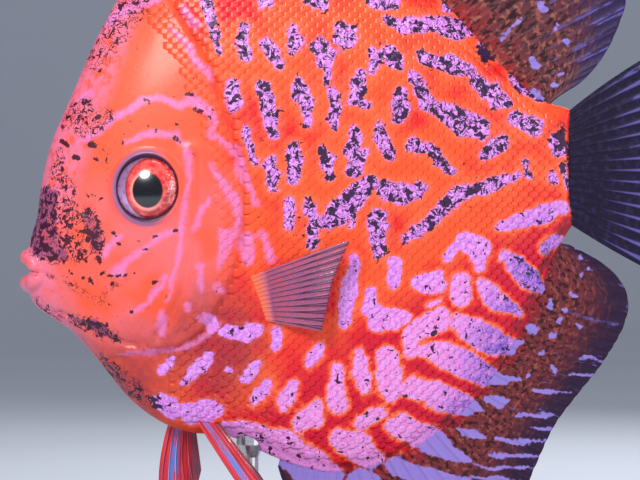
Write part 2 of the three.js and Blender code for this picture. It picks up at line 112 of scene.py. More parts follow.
# The camera's distance in millimetres, and the lamps: place and width in metres, then power
CAMERA_DISTANCE = 600.0
LAMP_AIM = Vector((0, 0, 0.1))
LAMPS = (
    ("key", (-0.3, -0.6, 0.5), 0.22, 4.6),
    ("fill", (0.55, -0.5, 0.2), 0.5, 1.7),
    ("top", (0.05, 0.0, 0.75), 0.4, 2.4),
    ("back", (0.2, 0.6, 0.5), 0.5, 2.4),
)

# The photograph's frame: its width in pixels, one pixel at the fish, and the pixel over x = 0 and z = LEVEL
FRAME_WIDTH = 640
PIXEL = 0.235
LEVEL = 100.0
PHOTO_X, PHOTO_Y = 330.0, 240.0

FAR = 1e9
UP = (0.0, 0.0, 1.0)


def at_photo(x, y):
    """The place in the fish's middle plane that a pixel of the photograph shows."""
    return ((x - PHOTO_X) * PIXEL, LEVEL + (PHOTO_Y - y) * PIXEL)


def smoothstep(low, high, value):
    t = np.clip((np.asarray(value, float) - low) / (high - low), 0, 1)
    return t * t * (3 - 2 * t)


def bell(value, width, middle=0.0):
    return np.exp(-(((value - middle) / width) ** 2))


def unit(vectors):
    return vectors / np.linalg.norm(vectors, axis=-1, keepdims=True)


def places(x, y, z):
    """Points from their three coordinates, any of which may be one number for all."""
    return np.stack(np.broadcast_arrays(x, y, z), axis=-1).astype(float)


class Line:
    """A smooth line through points, read by its share of length."""

    def __init__(self, points, per_span=40):
        p = np.array(points, float)
        p = np.vstack([2 * p[0] - p[1], p, 2 * p[-1] - p[-2]])
        t = np.linspace(0, 1, per_span, endpoint=False)[:, None]
        spans = []
        for a, b, c, d in zip(p[:-3], p[1:-2], p[2:-1], p[3:]):
            before, here, after = (np.linalg.norm(step) ** 0.5 for step in (b - a, c - b, d - c))
            leave = ((b - a) / before - (c - a) / (before + here) + (c - b) / here) * here
            arrive = ((c - b) / here - (d - b) / (here + after) + (d - c) / after) * here
            spans.append(
                (2 * t**3 - 3 * t**2 + 1) * b + (t**3 - 2 * t**2 + t) * leave
                + (3 * t**2 - 2 * t**3) * c + (t**3 - t**2) * arrive
            )
        self.points = np.vstack(spans + [p[-2:-1]])
        steps = np.linalg.norm(np.diff(self.points, axis=0), axis=1)
        self.shares = np.insert(np.cumsum(steps), 0, 0) / steps.sum()

    def at(self, share):
        return np.stack([np.interp(share, self.shares, column) for column in self.points.T], axis=-1)

    def tangent(self, share, reach=0.002):
        share = np.asarray(share, float)
        return unit(self.at(np.clip(share + reach, 0, 1)) - self.at(np.clip(share - reach, 0, 1)))

    def share_near(self, point):
        return self.shares[np.argmin(np.linalg.norm(self.points - np.array(point), axis=1))]


back_line = Line(BACK)
belly_line = Line(BELLY)
thickness_line = Line(THICKNESS)
gill_line = Line(GILL_EDGE)


def outline_point(line, share, grow):
    """A point of the outline, moved outwards by grow."""
    t = line.tangent(share)
    side = 1 if line is back_line else -1
    return line.at(share) + side * grow * np.stack([-t[..., 1], t[..., 0]], axis=-1)


def half_thickness(s, v, x):
    """Half the body's thickness at share s along it and share v from back to belly."""
    across = np.abs(2 * v - 1)
    brow = 1 - smoothstep(0.24, 0.36, s)
    rim = (FIN_ROOT + (BROW_RIM - FIN_ROOT) * brow * smoothstep(0, 1, across)) / 2
    crown = np.clip(1 - across**2.2, 0, 1) ** 0.72
    middle = np.interp(x, thickness_line.points[:, 0], thickness_line.points[:, 1])
    return rim + np.maximum(0, middle - rim) * crown


def section_at(x, z, halvings=24):
    """The shares s and v of points of the middle plane."""
    low = np.zeros_like(np.asarray(x, float))
    high = low + 1
    for _ in range(halvings):
        s = (low + high) / 2
        t = back_line.at(s)
        b = belly_line.at(s)
        before = (b[..., 0] - t[..., 0]) * (z - t[..., 1]) - (b[..., 1] - t[..., 1]) * (x - t[..., 0]) > 0
        low = np.where(before, s, low)
        high = np.where(before, high, s)
    t = back_line.at(low)
    b = belly_line.at(low)
    return low, np.clip((z - t[..., 1]) / (b[..., 1] - t[..., 1]), 0, 1)


def half_thickness_at(x, z):
    return half_thickness(*section_at(x, z), x)


def distance_to(path, x, z):
    """The distance from each point to an open path of [x, z] points."""
    path = np.array(path, float)
    best = np.full(np.shape(x), FAR)
    for (ax, az), (bx, bz) in zip(path[:-1], path[1:]):
        dx, dz = bx - ax, bz - az
        t = np.clip(((x - ax) * dx + (z - az) * dz) / (dx * dx + dz * dz + 1e-9), 0, 1)
        best = np.minimum(best, np.hypot(x - ax - t * dx, z - az - t * dz))
    return best


def inside(path, x, z):
    """Whether each point lies inside a closed path."""
    odd = np.zeros(np.shape(x), bool)
    for (ax, az), (bx, bz) in zip(path, np.roll(path, -1, axis=0)):
        odd ^= ((az > z) != (bz > z)) & (x < ax + (z - az) * (bx - ax) / (bz - az + 1e-12))
    return odd


def outline_gap(x, z):
    """How far inside the outline a place is."""
    share = np.linspace(0, 1, 90)
    return np.minimum(distance_to(back_line.at(share), x, z), distance_to(belly_line.at(share), x, z))


def behind_gill(x, z):
    """The distance behind the gill cover's edge, which is negative on the head."""
    edge = gill_line.at(np.linspace(0, 1, 60))
    head = np.vstack([[(-100, GILL_EDGE[0][1])], edge, [(-100, GILL_EDGE[-1][1])]])
    return np.where(inside(head, x, z), -1, 1) * distance_to(edge, x, z)


def cover_height(behind, v):
    """How far the head and its gill cover stand proud of the trunk."""
    return COVER_STEP * np.sin(math.pi * v) * smoothstep(0.35, -0.35, behind)


# Meshes
def add_object(name, data):
    thing = bpy.data.objects.new(name, data)
    bpy.context.scene.collection.objects.link(thing)
    return thing


def add_attributes(mesh, attributes):
    for key, values in attributes.items():
        layer = mesh.attributes.new(key, "FLOAT", "POINT")
        layer.data.foreach_set("value", np.asarray(values, np.float32).ravel())


def make_mesh(name, points, faces, attributes=None, unit_length=MM):
    """A mesh object from points in millimetres, with one number per point for each attribute."""
    mesh = bpy.data.meshes.new(name)
    corners = [tuple(map(int, face)) for face in faces]
    mesh.from_pydata((np.asarray(points) * unit_length).tolist(), [], corners)
    add_attributes(mesh, attributes or {})
    mesh.polygons.foreach_set("use_smooth", [True] * len(mesh.polygons))
    mesh.update()
    return add_object(name, mesh)


def column(items, key, width, kind=float):
    """One property of a mesh's elements, in a row of so many numbers for each."""
    values = np.empty(len(items) * width, kind)
    items.foreach_get(key, values)
    return values.reshape(-1, width)


def finished_mesh(thing):
    """The mesh that an object's modifiers give, in place of the object."""
    mesh = bpy.data.meshes.new_from_object(thing.evaluated_get(bpy.context.evaluated_depsgraph_get()))
    thing.modifiers.clear()
    bpy.data.objects.remove(thing)
    return mesh


def ring_faces(rings, count):
    """Quads over rings of equal count, each ring closed on itself."""
    i, j = np.meshgrid(np.arange(rings - 1), np.arange(count), indexing="ij")
    a = i * count + j
    b = i * count + (j + 1) % count
    return np.stack([a, b, b + count, a + count], axis=-1).reshape(-1, 4).tolist()


def closed_rings(rings, first, last):
    """Points and faces over rings of points, with a fan to a point at either end."""
    count = rings.shape[1]
    total = len(rings) * count
    faces = ring_faces(len(rings), count)
    for j in range(count):
        k = (j + 1) % count
        faces += [(k, j, total), (total - count + j, total - count + k, total + 1)]
    return np.vstack([rings.reshape(-1, 3), first, last]), faces


def sheet_faces(columns, rows):
    """The quads over a grid of points, and the points round its border."""
    at = np.arange(columns * rows).reshape(columns, rows)
    quads = np.stack([at[:-1, :-1], at[1:, :-1], at[1:, 1:], at[:-1, 1:]], axis=-1).reshape(-1, 4)
    return quads, np.concatenate([at[:, 0], at[-1, 1:], at[-2::-1, -1], at[0, -2:0:-1]])


def wall_faces(border, behind):
    return np.stack([border, behind, np.roll(behind, -1), np.roll(border, -1)], axis=-1)


# Node trees
class Wire:
    """A socket that can be used in sums."""

    def __init__(self, graph, socket):
        self.graph = graph
        self.socket = socket

    def __add__(self, other):
        return self.graph.maths("ADD", self, other)

    def __radd__(self, other):
        return self.graph.maths("ADD", other, self)

    def __sub__(self, other):
        return self.graph.maths("SUBTRACT", self, other)

    def __rsub__(self, other):
        return self.graph.maths("SUBTRACT", other, self)

    def __mul__(self, other):
        return self.graph.maths("MULTIPLY", self, other)

    def __rmul__(self, other):
        return self.graph.maths("MULTIPLY", other, self)


class Graph:
    """A node tree, each node made with its settings and inputs in one go."""

    def __init__(self, tree):
        self.tree = tree

    def node(self, kind, settings=None, inputs=None, output=0):
        made = self.tree.nodes.new(kind)
        for key, value in (settings or {}).items():
            setattr(made, key, value)
        for key, value in (inputs or {}).items():
            if isinstance(value, Wire):
                self.tree.links.new(value.socket, made.inputs[key])
            else:
                made.inputs[key].default_value = value
        return Wire(self, made.outputs[output]) if made.outputs else None

    def maths(self, operation, a, b):
        return self.node("ShaderNodeMath", {"operation": operation}, {0: a, 1: b})


class Look(Graph):
    """A material made of nodes."""

    def __init__(self, name):
        self.material = bpy.data.materials.new(name)
        self.material.use_nodes = True
        super().__init__(self.material.node_tree)
        self.tree.nodes.clear()

    def attribute(self, name):
        return self.node("ShaderNodeAttribute", {"attribute_name": name}, output="Fac")

    def place(self):
        return self.node("ShaderNodeTexCoord", output="Object")

    def stretched(self, scale):
        values = {"Vector": self.place(), "Scale": scale}
        return self.node("ShaderNodeMapping", {"vector_type": "POINT"}, values)

    def join(self, x, y):
        return self.node("ShaderNodeCombineXYZ", inputs={0: x, 1: y})

    def noise(self, place, scale, detail=2.0, roughness=0.5, distortion=0.0):
        values = {"Scale": scale, "Detail": detail, "Roughness": roughness, "Distortion": distortion}
        return self.node("ShaderNodeTexNoise", {"normalize": True}, {"Vector": place, **values}, "Fac")

    def step(self, value, low, high):
        values = {"Value": value, "From Min": low, "From Max": high}
        return self.node("ShaderNodeMapRange", {"interpolation_type": "SMOOTHSTEP"}, values)

    def mix(self, a, b, cover):
        return self.node("ShaderNodeMix", {"data_type": "RGBA"}, {0: cover, 6: a, 7: b}, 2)

    def layers(self, base, *coats):
        """Coats of paint over a base, each a colour and how much it covers."""
        for paint, cover in coats:
            base = self.mix(base, paint, cover)
        return base

    def bump(self, height, distance, strength):
        values = {"Height": height, "Distance": distance, "Strength": strength}
        return self.node("ShaderNodeBump", inputs=values)

    def finish(self, **sockets):
        values = {key.replace("_", " "): value for key, value in sockets.items()}
        surface = self.node("ShaderNodeBsdfPrincipled", inputs=values)
        self.node("ShaderNodeOutputMaterial", inputs={"Surface": surface})
        return self.material


def rgb(red, green, blue):
    """A colour from 0 to 255 as the shader's own numbers."""
    shares = (red / 255, green / 255, blue / 255)
    return tuple(c / 12.92 if c <= 0.04045 else ((c + 0.055) / 1.055) ** 2.4 for c in shares) + (1.0,)


# Markings. Each stroke has a run of points in photograph pixels: x, y and its width there, by turns
UPPER_SPOTS = [
    (204, 0, 10, 212, 20, 12, 218, 42, 10, 222, 57, 6), (245, 31, 12, 243, 46, 12, 247, 60, 9),
    (268, 48, 12, 276, 60, 12, 281, 70, 8), (294, 36, 12, 296, 46, 18, 292, 55, 8),
    (318, 48, 12, 325, 58, 18, 326, 70, 14), (341, 30, 12, 344, 42, 22, 353, 34, 8), (262, 0, 14, 268, 8, 12),
    (310, 2, 10, 322, 8, 12), (326, 78, 8, 327, 86, 8),
    (334, 97, 12, 336, 108, 12, 332, 122, 13, 334, 130, 8),
    (360, 78, 12, 356, 90, 18, 352, 102, 12, 368, 110, 7), (371, 52, 10, 375, 64, 16, 372, 74, 10),
    (386, 54, 14, 394, 64, 16, 399, 70, 6), (398, 96, 14, 399, 108, 18, 397, 120, 12), (412, 74, 8,
     418, 90, 12, 426, 106, 14, 442, 116, 14, 460, 132, 12),
    (422, 58, 12, 436, 66, 14, 452, 66, 20, 466, 72, 15), (388, 22, 12, 402, 28, 14, 430, 26, 20, 460, 30, 22,
     482, 18, 18, 498, 4, 14), (372, 2, 16, 392, 6, 10), (448, 6, 16, 466, 2, 14),
    (263, 88, 10, 268, 100, 13, 272, 118, 15, 274, 136, 9),
    (300, 84, 10, 302, 98, 18, 308, 108, 12, 309, 124, 9), (246, 130, 7, 251, 146, 10, 257, 166, 6),
    (233, 88, 12, 236, 108, 14), (294, 150, 13, 296, 166, 16, 293, 180, 14),
    (322, 150, 10, 327, 162, 18, 328, 176, 10), (354, 134, 12, 352, 150, 16, 353, 170, 14, 366, 154, 6),
    (379, 126, 10, 380, 140, 14, 387, 156, 12), (412, 146, 14, 428, 152, 12, 442, 166, 12, 452, 172, 8),
    (270, 162, 8, 274, 176, 12, 275, 190, 8), (290, 205, 12, 291, 228, 11),
    (308, 204, 10, 314, 222, 12, 312, 244, 9), (368, 182, 16, 352, 200, 22, 338, 214, 22, 324, 222, 14),
    (384, 190, 18, 402, 196, 24, 418, 190, 16), (377, 216, 16, 376, 236, 20, 379, 254, 10),
    (404, 240, 10, 420, 228, 14, 434, 216, 16, 448, 203, 16), (450, 199, 14, 466, 191, 14, 482, 188, 16,
     502, 181, 14, 515, 175, 8), (440, 112, 14, 455, 120, 22, 480, 130, 20),
    (474, 82, 14, 490, 94, 20, 502, 104, 16), (512, 78, 9, 524, 88, 13, 540, 97, 9),
    (484, 156, 13, 498, 144, 18), (514, 120, 14, 533, 127, 18), (556, 142, 18, 560, 150, 16),
    (524, 162, 6, 528, 176, 6), (549, 176, 8, 552, 180, 7), (484, 50, 18, 498, 44, 22, 512, 30, 12),
    (562, 168, 6, 568, 186, 8),
]
LOWER_SPOTS = [
    (462, 240, 14, 477, 249, 24, 478, 264, 14), (446, 256, 12, 453, 246, 9), (420, 283, 18, 435, 281, 20),
    (459, 281, 16, 459, 297, 19), (480, 284, 12, 490, 296, 20, 503, 305, 17, 518, 313, 5),
    (504, 255, 11, 514, 265, 21, 528, 278, 19, 540, 290, 7), (544, 249, 9, 554, 240, 15),
    (416, 329, 17, 438, 319, 22), (457, 320, 13, 470, 330, 25, 492, 341, 27, 508, 347, 19, 524, 342, 4),
    (424, 349, 15, 440, 352, 25, 462, 362, 26, 485, 374, 20, 502, 379, 12, 519, 379, 4),
    (487, 399, 6, 497, 402, 12, 509, 400, 3), (411, 385, 21, 430, 392, 26, 455, 402, 23, 470, 407, 15,
     483, 410, 4), (460, 431, 5, 471, 434, 13, 485, 438, 3),
    (400, 425, 27, 425, 438, 28, 450, 452, 19, 471, 460, 4), (396, 466, 24, 430, 479, 18, 466, 481, 7),
    (500, 227, 12, 520, 221, 18, 545, 213, 18, 562, 208, 12), (393, 262, 14, 392, 280, 16),
    (354, 256, 8, 350, 280, 14, 346, 305, 15, 344, 322, 12),
    (371, 290, 12, 368, 306, 17, 378, 318, 22, 400, 317, 19), (409, 334, 15, 411, 350, 15),
    (386, 354, 18, 388, 372, 24, 390, 392, 18), (358, 352, 11, 361, 370, 15, 364, 388, 13),
    (337, 368, 14, 336, 386, 17, 338, 404, 17), (316, 404, 13, 310, 415, 24, 300, 423, 17),
    (277, 331, 11, 276, 344, 11), (230, 330, 14, 246, 332, 17, 260, 329, 11),
    (321, 343, 9, 315, 354, 13, 310, 362, 8), (210, 354, 10, 203, 364, 13, 190, 376, 8, 182, 381, 5),
    (230, 366, 6, 232, 368, 6), (260, 361, 7, 252, 368, 12, 245, 376, 10),
    (270, 380, 10, 262, 390, 14, 256, 400, 11), (294, 382, 12, 290, 392, 17, 283, 402, 13),
    (160, 400, 14, 172, 407, 20), (190, 412, 18, 205, 410, 25, 217, 408, 18), (164, 369, 7, 174, 358, 9),
    (228, 427, 14, 250, 432, 27, 275, 443, 33, 300, 459, 38, 325, 477, 38),
    (340, 437, 24, 356, 445, 28, 370, 457, 26), (362, 420, 17, 378, 411, 15), (358, 480, 22, 372, 484, 22),
    (204, 316, 11, 214, 323, 13), (353, 216, 6, 350, 226, 6), (436, 300, 7, 430, 304, 6),
]
FACE_STRIPES = [
    (81, 144, 4, 100, 133, 7, 123, 118, 9, 146, 103, 9, 163, 101, 7, 182, 108, 8, 196, 101, 9, 206, 111, 9,
     216, 123, 8, 212, 135, 7, 224, 142, 4, 239, 160, 5, 241, 176, 5), (129, 143, 5, 149, 136, 9, 161, 135, 8,
     179, 137, 7, 189, 146, 5, 192, 163, 6, 193, 180, 5, 189, 204, 4, 186, 224, 5, 183, 246, 6, 181, 262, 5,
     174, 287, 4, 168, 300, 2), (181, 231, 5, 166, 236, 5, 146, 249, 6, 129, 260, 5, 121, 271, 13),
    (124, 237, 5, 109, 253, 7), (168, 277, 5, 159, 289, 6, 153, 302, 5, 136, 311, 5),
    (166, 312, 5, 163, 330, 8), (214, 168, 6, 224, 183, 8, 236, 199, 9, 240, 221, 6, 234, 239, 5,
     226, 262, 4), (211, 203, 6, 201, 213, 6, 197, 229, 3), (227, 236, 12, 224, 252, 8, 222, 269, 3),
    (247, 239, 13, 249, 259, 12), (202, 264, 7, 202, 289, 5), (191, 303, 6, 191, 307, 6),
    (220, 286, 7, 225, 288, 6), (84, 100, 9, 92, 94, 9), (110, 22, 9, 134, 8, 9, 160, 0, 8),
    (173, 33, 6, 188, 46, 8, 200, 64, 7, 212, 82, 7), (186, 12, 6, 198, 28, 7), (264, 232, 7, 272, 256, 9),
    (238, 150, 5, 246, 180, 7, 258, 206, 6), (120, 352, 2, 150, 352, 4, 182, 347, 4, 205, 335, 4,
     222, 322, 2),
]
FACE_DOTS = [
    (64, 142, 5, 70, 146, 5), (94, 146, 7, 98, 147, 5), (78, 158, 6, 82, 160, 4), (98, 160, 4, 100, 161, 4),
    (109, 157, 2, 111, 164, 3), (125, 144, 3, 126, 146, 3), (151, 127, 3, 151, 128, 3),
    (158, 133, 4, 159, 133, 4), (179, 126, 3, 180, 127, 3), (178, 140, 5, 183, 144, 3),
    (197, 156, 3, 198, 158, 2), (189, 97, 4, 195, 98, 4), (198, 112, 5, 204, 115, 5),
    (209, 118, 3, 213, 121, 3), (178, 231, 5, 179, 231, 5), (158, 237, 4, 160, 236, 3),
    (147, 250, 2, 151, 248, 3), (142, 241, 3, 143, 242, 3), (122, 243, 4, 123, 244, 4),
    (102, 202, 2, 106, 199, 3), (106, 273, 4, 108, 272, 4), (113, 275, 4, 116, 275, 4),
    (121, 275, 3, 123, 275, 4), (129, 275, 4, 130, 274, 4), (116, 283, 4, 117, 282, 4),
    (139, 272, 3, 140, 272, 2), (157, 282, 4, 160, 281, 4), (134, 311, 3, 136, 311, 3),
    (112, 303, 2, 114, 304, 2), (72, 268, 2, 76, 274, 2), (94, 278, 4, 96, 282, 4), (86, 277, 3, 90, 277, 2),
    (218, 290, 3, 219, 290, 3), (90, 196, 3, 92, 198, 3), (96, 195, 2, 99, 197, 2), (88, 250, 4, 90, 252, 4),
    (102, 258, 5, 104, 261, 5), (70, 236, 4, 74, 238, 4), (116, 232, 3, 120, 236, 3),
    (152, 105, 4, 148, 101, 3),
]
ANAL_STREAKS = [
    (535, 391, 6, 549, 391, 5, 571, 393, 2), (516, 415, 4, 532, 414, 5, 560, 416, 2),
    (531, 428, 2, 543, 428, 4, 555, 428, 2), (496, 440, 3, 514, 441, 6, 547, 442, 2),
    (492, 454, 4, 507, 455, 6, 541, 455, 2), (475, 463, 2, 490, 468, 5, 534, 469, 2),
    (571, 374, 2, 577, 373, 4, 596, 376, 2), (579, 358, 2, 592, 357, 4, 604, 362, 2),
    (577, 245, 5, 578, 247, 5), (579, 256, 5, 580, 258, 4), (580, 276, 5, 581, 274, 4),
    (549, 300, 5, 549, 306, 5), (559, 322, 6, 561, 319, 4), (551, 336, 7, 556, 335, 6),
    (531, 327, 9, 534, 329, 8), (567, 312, 4, 564, 309, 4), (579, 326, 5, 577, 324, 4),
    (539, 354, 6, 542, 352, 5), (530, 373, 6, 528, 376, 6), (552, 369, 5, 553, 372, 4),
    (572, 292, 5, 576, 295, 4), (470, 478, 3, 492, 479, 5, 526, 481, 2), (588, 270, 4, 590, 271, 3),
]
DORSAL_FLECKS = [
    (533, 58, 10, 537, 66, 8), (541, 6, 7, 543, 10, 6), (518, 24, 7, 522, 20, 5), (567, 42, 5, 568, 45, 5),
    (560, 75, 6, 563, 74, 5), (554, 87, 7, 559, 87, 5), (530, 92, 8, 538, 96, 7), (500, 40, 5, 512, 28, 4),
    (556, 28, 4, 559, 24, 4),
]
# Dark patches, each with how dark it is. Most are markings, such as the nose patch; the ones along the jaw
# slit, along the mouth's crease and in the nostril are painted shade
MARKINGS_AND_SHADE_PATCHES = [
    (1, (50, 196, 22, 44, 222, 32, 46, 244, 30, 64, 254, 16)), (0.62, (72, 206, 22, 72, 244, 22)),
    (0.86, (92, 218, 20, 98, 232, 22, 100, 250, 12)), (0.5, (84, 232, 30, 84, 256, 20)), (0.52, (66, 124,
     14, 84, 110, 24, 88, 128, 24, 112, 118, 18)), (0.42, (98, 146, 10, 112, 154, 8)),
    (0.55, (62, 152, 10, 60, 176, 18, 76, 192, 14)), (0.45, (104, 18, 30, 140, 8, 30, 96, 60, 30)),
    (0.36, (70, 280, 10, 100, 300, 12, 130, 276, 8)), (0.62, (104, 360, 16, 128, 384, 24, 158, 404, 8)),
    # painted shade along the jaw slit and in the nostril
    (1.3, (72, 317, 3, 92, 323, 9, 108, 330, 9, 120, 338, 2)), (1.4, (91, 210, 4, 92, 211, 4)),
    # the second patch here is painted shade along the mouth's crease
    (0.6, (560, 128, 10, 566, 150, 8, 572, 176, 8, 574, 204, 8)), (0.9, (30, 272, 1, 44, 273, 3, 54, 277, 1)),
    (0.6, (484, 54, 20, 498, 44, 22, 512, 30, 12)), (0.45, (40, 300, 10, 60, 318, 12)),
]


def warped(x, z):
    """The same place, nudged unevenly, so no marking has a ruled edge."""
    nudge_x = 0.34 * np.sin(x * 0.71 + 1.3 * np.sin(z * 0.43)) + 0.2 * np.sin(x * 1.9 - z * 1.3 + 0.6)
    nudge_z = 0.34 * np.sin(z * 0.67 + 1.5 * np.sin(x * 0.37 + 1)) + 0.2 * np.sin(z * 2.1 + x * 1.1)
    return x + nudge_x + 0.12 * np.sin(z * 4.1 + x), z + nudge_z + 0.12 * np.sin(x * 4.3 - z * 0.7)


def marks(strokes, x, z):
    """The distance in millimetres outside the nearest of some strokes, less than nought within."""
    best = np.full(np.shape(x), FAR)
    for stroke in strokes:
        points = np.reshape(stroke, (-1, 3)).astype(float)
        for (ax, ay, a_width), (bx, by, b_width) in zip(points[:-1], points[1:]):
            start_x, start_z = at_photo(ax, ay)
            dx, dz = (bx - ax) * PIXEL, (ay - by) * PIXEL
            t = np.clip(((x - start_x) * dx + (z - start_z) * dz) / (dx * dx + dz * dz), 0, 1)
            width = (a_width + (b_width - a_width) * t) * PIXEL / 2
            best = np.minimum(best, np.hypot(x - start_x - t * dx, z - start_z - t * dz) - width)
    return best


def skin_attributes(x, z):
    """What the skin's paint reads, from the place on the flank."""
    wx, wz = warped(x, z)
    dark = np.zeros_like(x)
    for weight, stroke in MARKINGS_AND_SHADE_PATCHES:
        dark = np.maximum(dark, weight * smoothstep(1.6, -1.4, marks([stroke], wx, wz)))
    photo_x = PHOTO_X + x / PIXEL
    photo_y = PHOTO_Y - (z - LEVEL) / PIXEL
    # painted shade: darker under the pectoral fin and under the lower jaw
    shade_under_fin = smoothstep(16, 5, np.hypot(x + 26, (z - 76) * 0.8))
    shade_under_jaw = smoothstep(86, 68, z - 0.35 * (x + 50)) * smoothstep(-30, -44, x)
    towards_tail = smoothstep(450, 530, photo_x + 0.35 * (photo_y - 300))
    return {
        "upper": np.clip(marks(UPPER_SPOTS, wx, wz), -4, 6),
        "lower": np.clip(marks(LOWER_SPOTS, wx, wz), -4, 6),
        "stripe": np.clip(marks(FACE_STRIPES, wx, wz), -2, 4),
        "dot": np.clip(marks(FACE_DOTS, x, z), -1, 3),
        "dark": dark,
        "head": smoothstep(3, -5, behind_gill(x, z)),
        "crimson": smoothstep(-30, 50, photo_y - 345 + 0.65 * (photo_x - 330)),
        "blue": towards_tail * smoothstep(180, 260, photo_y),
        "orbit": np.hypot((x - EYE_X) / 7.9, (z - EYE_Z) / 8.6),
        "orbit_front": smoothstep(6.5, 0.0, x - EYE_X),
        "lip": smoothstep(-63, -68, x - 0.35 * np.abs(z - 93)),
        "edge": smoothstep(2.2, 0.0, outline_gap(x, z)),
        "low": smoothstep(128, 98, z),
        "painted_shade": shade_under_fin + shade_under_jaw,
    }


# The skin: body and lips fused into one closed surface, then worked in relief
def body_form(stations=240, rows=64, rim_steps=7):
    s = np.linspace(0, 1, stations) ** 1.12
    top = outline_point(back_line, s, -SKIN_DEPTH)
    belly = outline_point(belly_line, s, -SKIN_DEPTH)
    v = (1 - np.cos(np.linspace(0, math.pi, rows))) / 2
    flank = top[:, None] + (belly - top)[:, None] * v[None, :, None]
    half = half_thickness(s[:, None], v[None, :], flank[..., 0]) - SKIN_DEPTH
    left = places(flank[..., 0], -half, flank[..., 1])
    right = left[:, ::-1] * (1, -1, 1)
    turn = np.linspace(-math.pi / 2, math.pi / 2, rim_steps + 2)[1:-1]

    def rim(line, edge, fin_from):
        """The rounded edge between the flanks, which is fuller where a fin grows from it."""
        free = 1 - smoothstep(fin_from, fin_from + 0.04, s)
        bulge = 0.9 * free + 1.6 * (1 - free)
        normal = (outline_point(line, s, 1) - line.at(s))[:, None]
        out = edge[:, None] + normal * (bulge[:, None] * np.cos(turn))[..., None]
        return places(out[..., 0], half[:, :1] * np.sin(turn), out[..., 1])

    keel = rim(belly_line, belly, 0.36)
    ridge = rim(back_line, top, 0.3)[:, ::-1]
    rings = np.concatenate([left, keel, right, ridge], axis=1)
    return closed_rings(rings, rings[0].mean(0), rings[-1].mean(0))


def lip_form(x, z, radius, sides=16):
    """A round bar from one corner of the mouth over its middle to the other, closed at both ends."""
    corner = np.array(LIP_CORNER)
    side = [corner, (corner[0] * 0.4 + x * 0.6, 4.5, corner[2] * 0.25 + z * 0.75), (x + 0.6, 2.4, z)]
    share = np.linspace(0, 1, 40)
    path = Line(side + [(x, 0, z)] + [np.array(p) * (1, -1, 1) for p in reversed(side)]).at(share)
    radii = radius * (0.5 + 0.5 * np.sin(math.pi * share))
    tangents = unit(np.gradient(path, axis=0))
    normal = unit(np.cross(tangents, UP))
    other = np.cross(tangents, normal)
    turn = np.linspace(0, 2 * math.pi, sides, endpoint=False)[None, :, None]
    ring = np.cos(turn) * normal[:, None] + np.sin(turn) * other[:, None]
    points = (path[:, None] + ring * radii[:, None, None]).reshape(-1, 3)
    ends = [range(sides)[::-1], range(len(points) - sides, len(points))]
    return points, ring_faces(len(path), sides) + ends


def eye_axis(side):
    return unit(np.array([-EYE_FORWARD, side, EYE_UP]))


def eye_seat(side):
    return np.array([EYE_X, side * (half_thickness_at(EYE_X, EYE_Z) + COVER_STEP - 0.4), EYE_Z])


# Grooves and folds of the head: their paths in photograph pixels
CHEEK_GROOVE = [(196, 158), (197, 200), (193, 250), (186, 290), (172, 318), (160, 334)]
JAW_SLIT = [(62, 312), (88, 324), (116, 338), (140, 344)]
JAW_FOLD = [(224, 300), (204, 330), (178, 346), (132, 352)]
LIP_CREASE = [(30, 272), (44, 273), (56, 277), (62, 284), (56, 294)]
# A path, how far the fold rises or a groove sinks, its width and how far off the path it lies
FOLDS = [
    (CHEEK_GROOVE, -0.45, 0.8, 0.0), (CHEEK_GROOVE, 0.3, 1.3, 2.0), (JAW_SLIT, -0.7, 0.7, 0.0),
    (JAW_FOLD, 0.35, 0.8, 1.0),
]


def relief(points, normals):
    """Grooves, folds, sockets and pits, worked into the fused form."""
    x, y, z = points.T
    behind = behind_gill(x, z)
    v = section_at(x, z)[1]
    height = cover_height(behind, v)
    height -= 0.35 * bell(behind, 0.8, 0.9) * smoothstep(0, 0.2, np.sin(math.pi * v))
    for path, rise, width, offset in FOLDS:
        height += rise * bell(distance_to([at_photo(*p) for p in path], x, z), width, offset)
    crease = distance_to([at_photo(*p) for p in LIP_CREASE], x, z)
    height -= 0.55 * bell(crease, 0.5) * smoothstep(-60, -66, x)
    height += 0.6 * bell(x, 9, -40) * bell(z, 9, 95)
    moved = points + normals * (height * np.abs(normals[:, 1]) ** 0.7)[:, None]
    pit = np.hypot(x - NOSTRIL_X, z - NOSTRIL_Z)
    for side in (-1, 1):
        axis = eye_axis(side)
        offset = moved - eye_seat(side)
        along = offset @ axis
        r = np.linalg.norm(offset - along[:, None] * axis, axis=1)
        own = y * side > 2
        lid = 0.75 * bell(r, 0.75, 7.9)
        socket = -3.0 * smoothstep(7.1, 6.2, r)
        moved += axis * ((along > -6) & own)[:, None] * (lid + socket)[:, None]
        moved[:, 1] -= side * NOSTRIL_DEPTH * smoothstep(1.5, 0.2, pit) * own
    return moved


def build_skin():
    points, faces = [], []
    for form_points, form_faces in (body_form(), lip_form(*UPPER_LIP), lip_form(*LOWER_LIP)):
        faces += [[index + len(points) for index in face] for face in form_faces]
        points += form_points.tolist()
    forms = make_mesh("skin_forms", points, faces, unit_length=1)
    fuse = forms.modifiers.new("fuse", "REMESH")
    fuse.mode = "VOXEL"
    fuse.voxel_size = SKIN_VOXEL
    fused = finished_mesh(forms)
    place = relax(column(fused.vertices, "co", 3), column(fused.edges, "vertices", 2, int), rounds=6)
    fused.vertices.foreach_set("co", place.ravel())
    fused.update()
    place = relief(place, column(fused.vertices, "normal", 3))
    quads = [tuple(face.vertices) for face in fused.polygons if len(face.vertices) == 4]
    bpy.data.meshes.remove(fused)
    return make_mesh("skin", place, quads, skin_attributes(place[:, 0], place[:, 2]))


def relax(place, edges, rounds):
    """Evens out a surface: its points move by turns towards their neighbours' middle and back from it."""
    a, b = edges.T
    count = len(place)
    links = np.bincount(edges.ravel(), minlength=count)[:, None]
    for turn in range(rounds):
        sums = [np.bincount(a, c[b], count) + np.bincount(b, c[a], count) for c in place.T]
        share = 0.5 if turn % 2 == 0 else -0.52
        place = place + share * (np.stack(sums, axis=-1) / links - place)
    return place


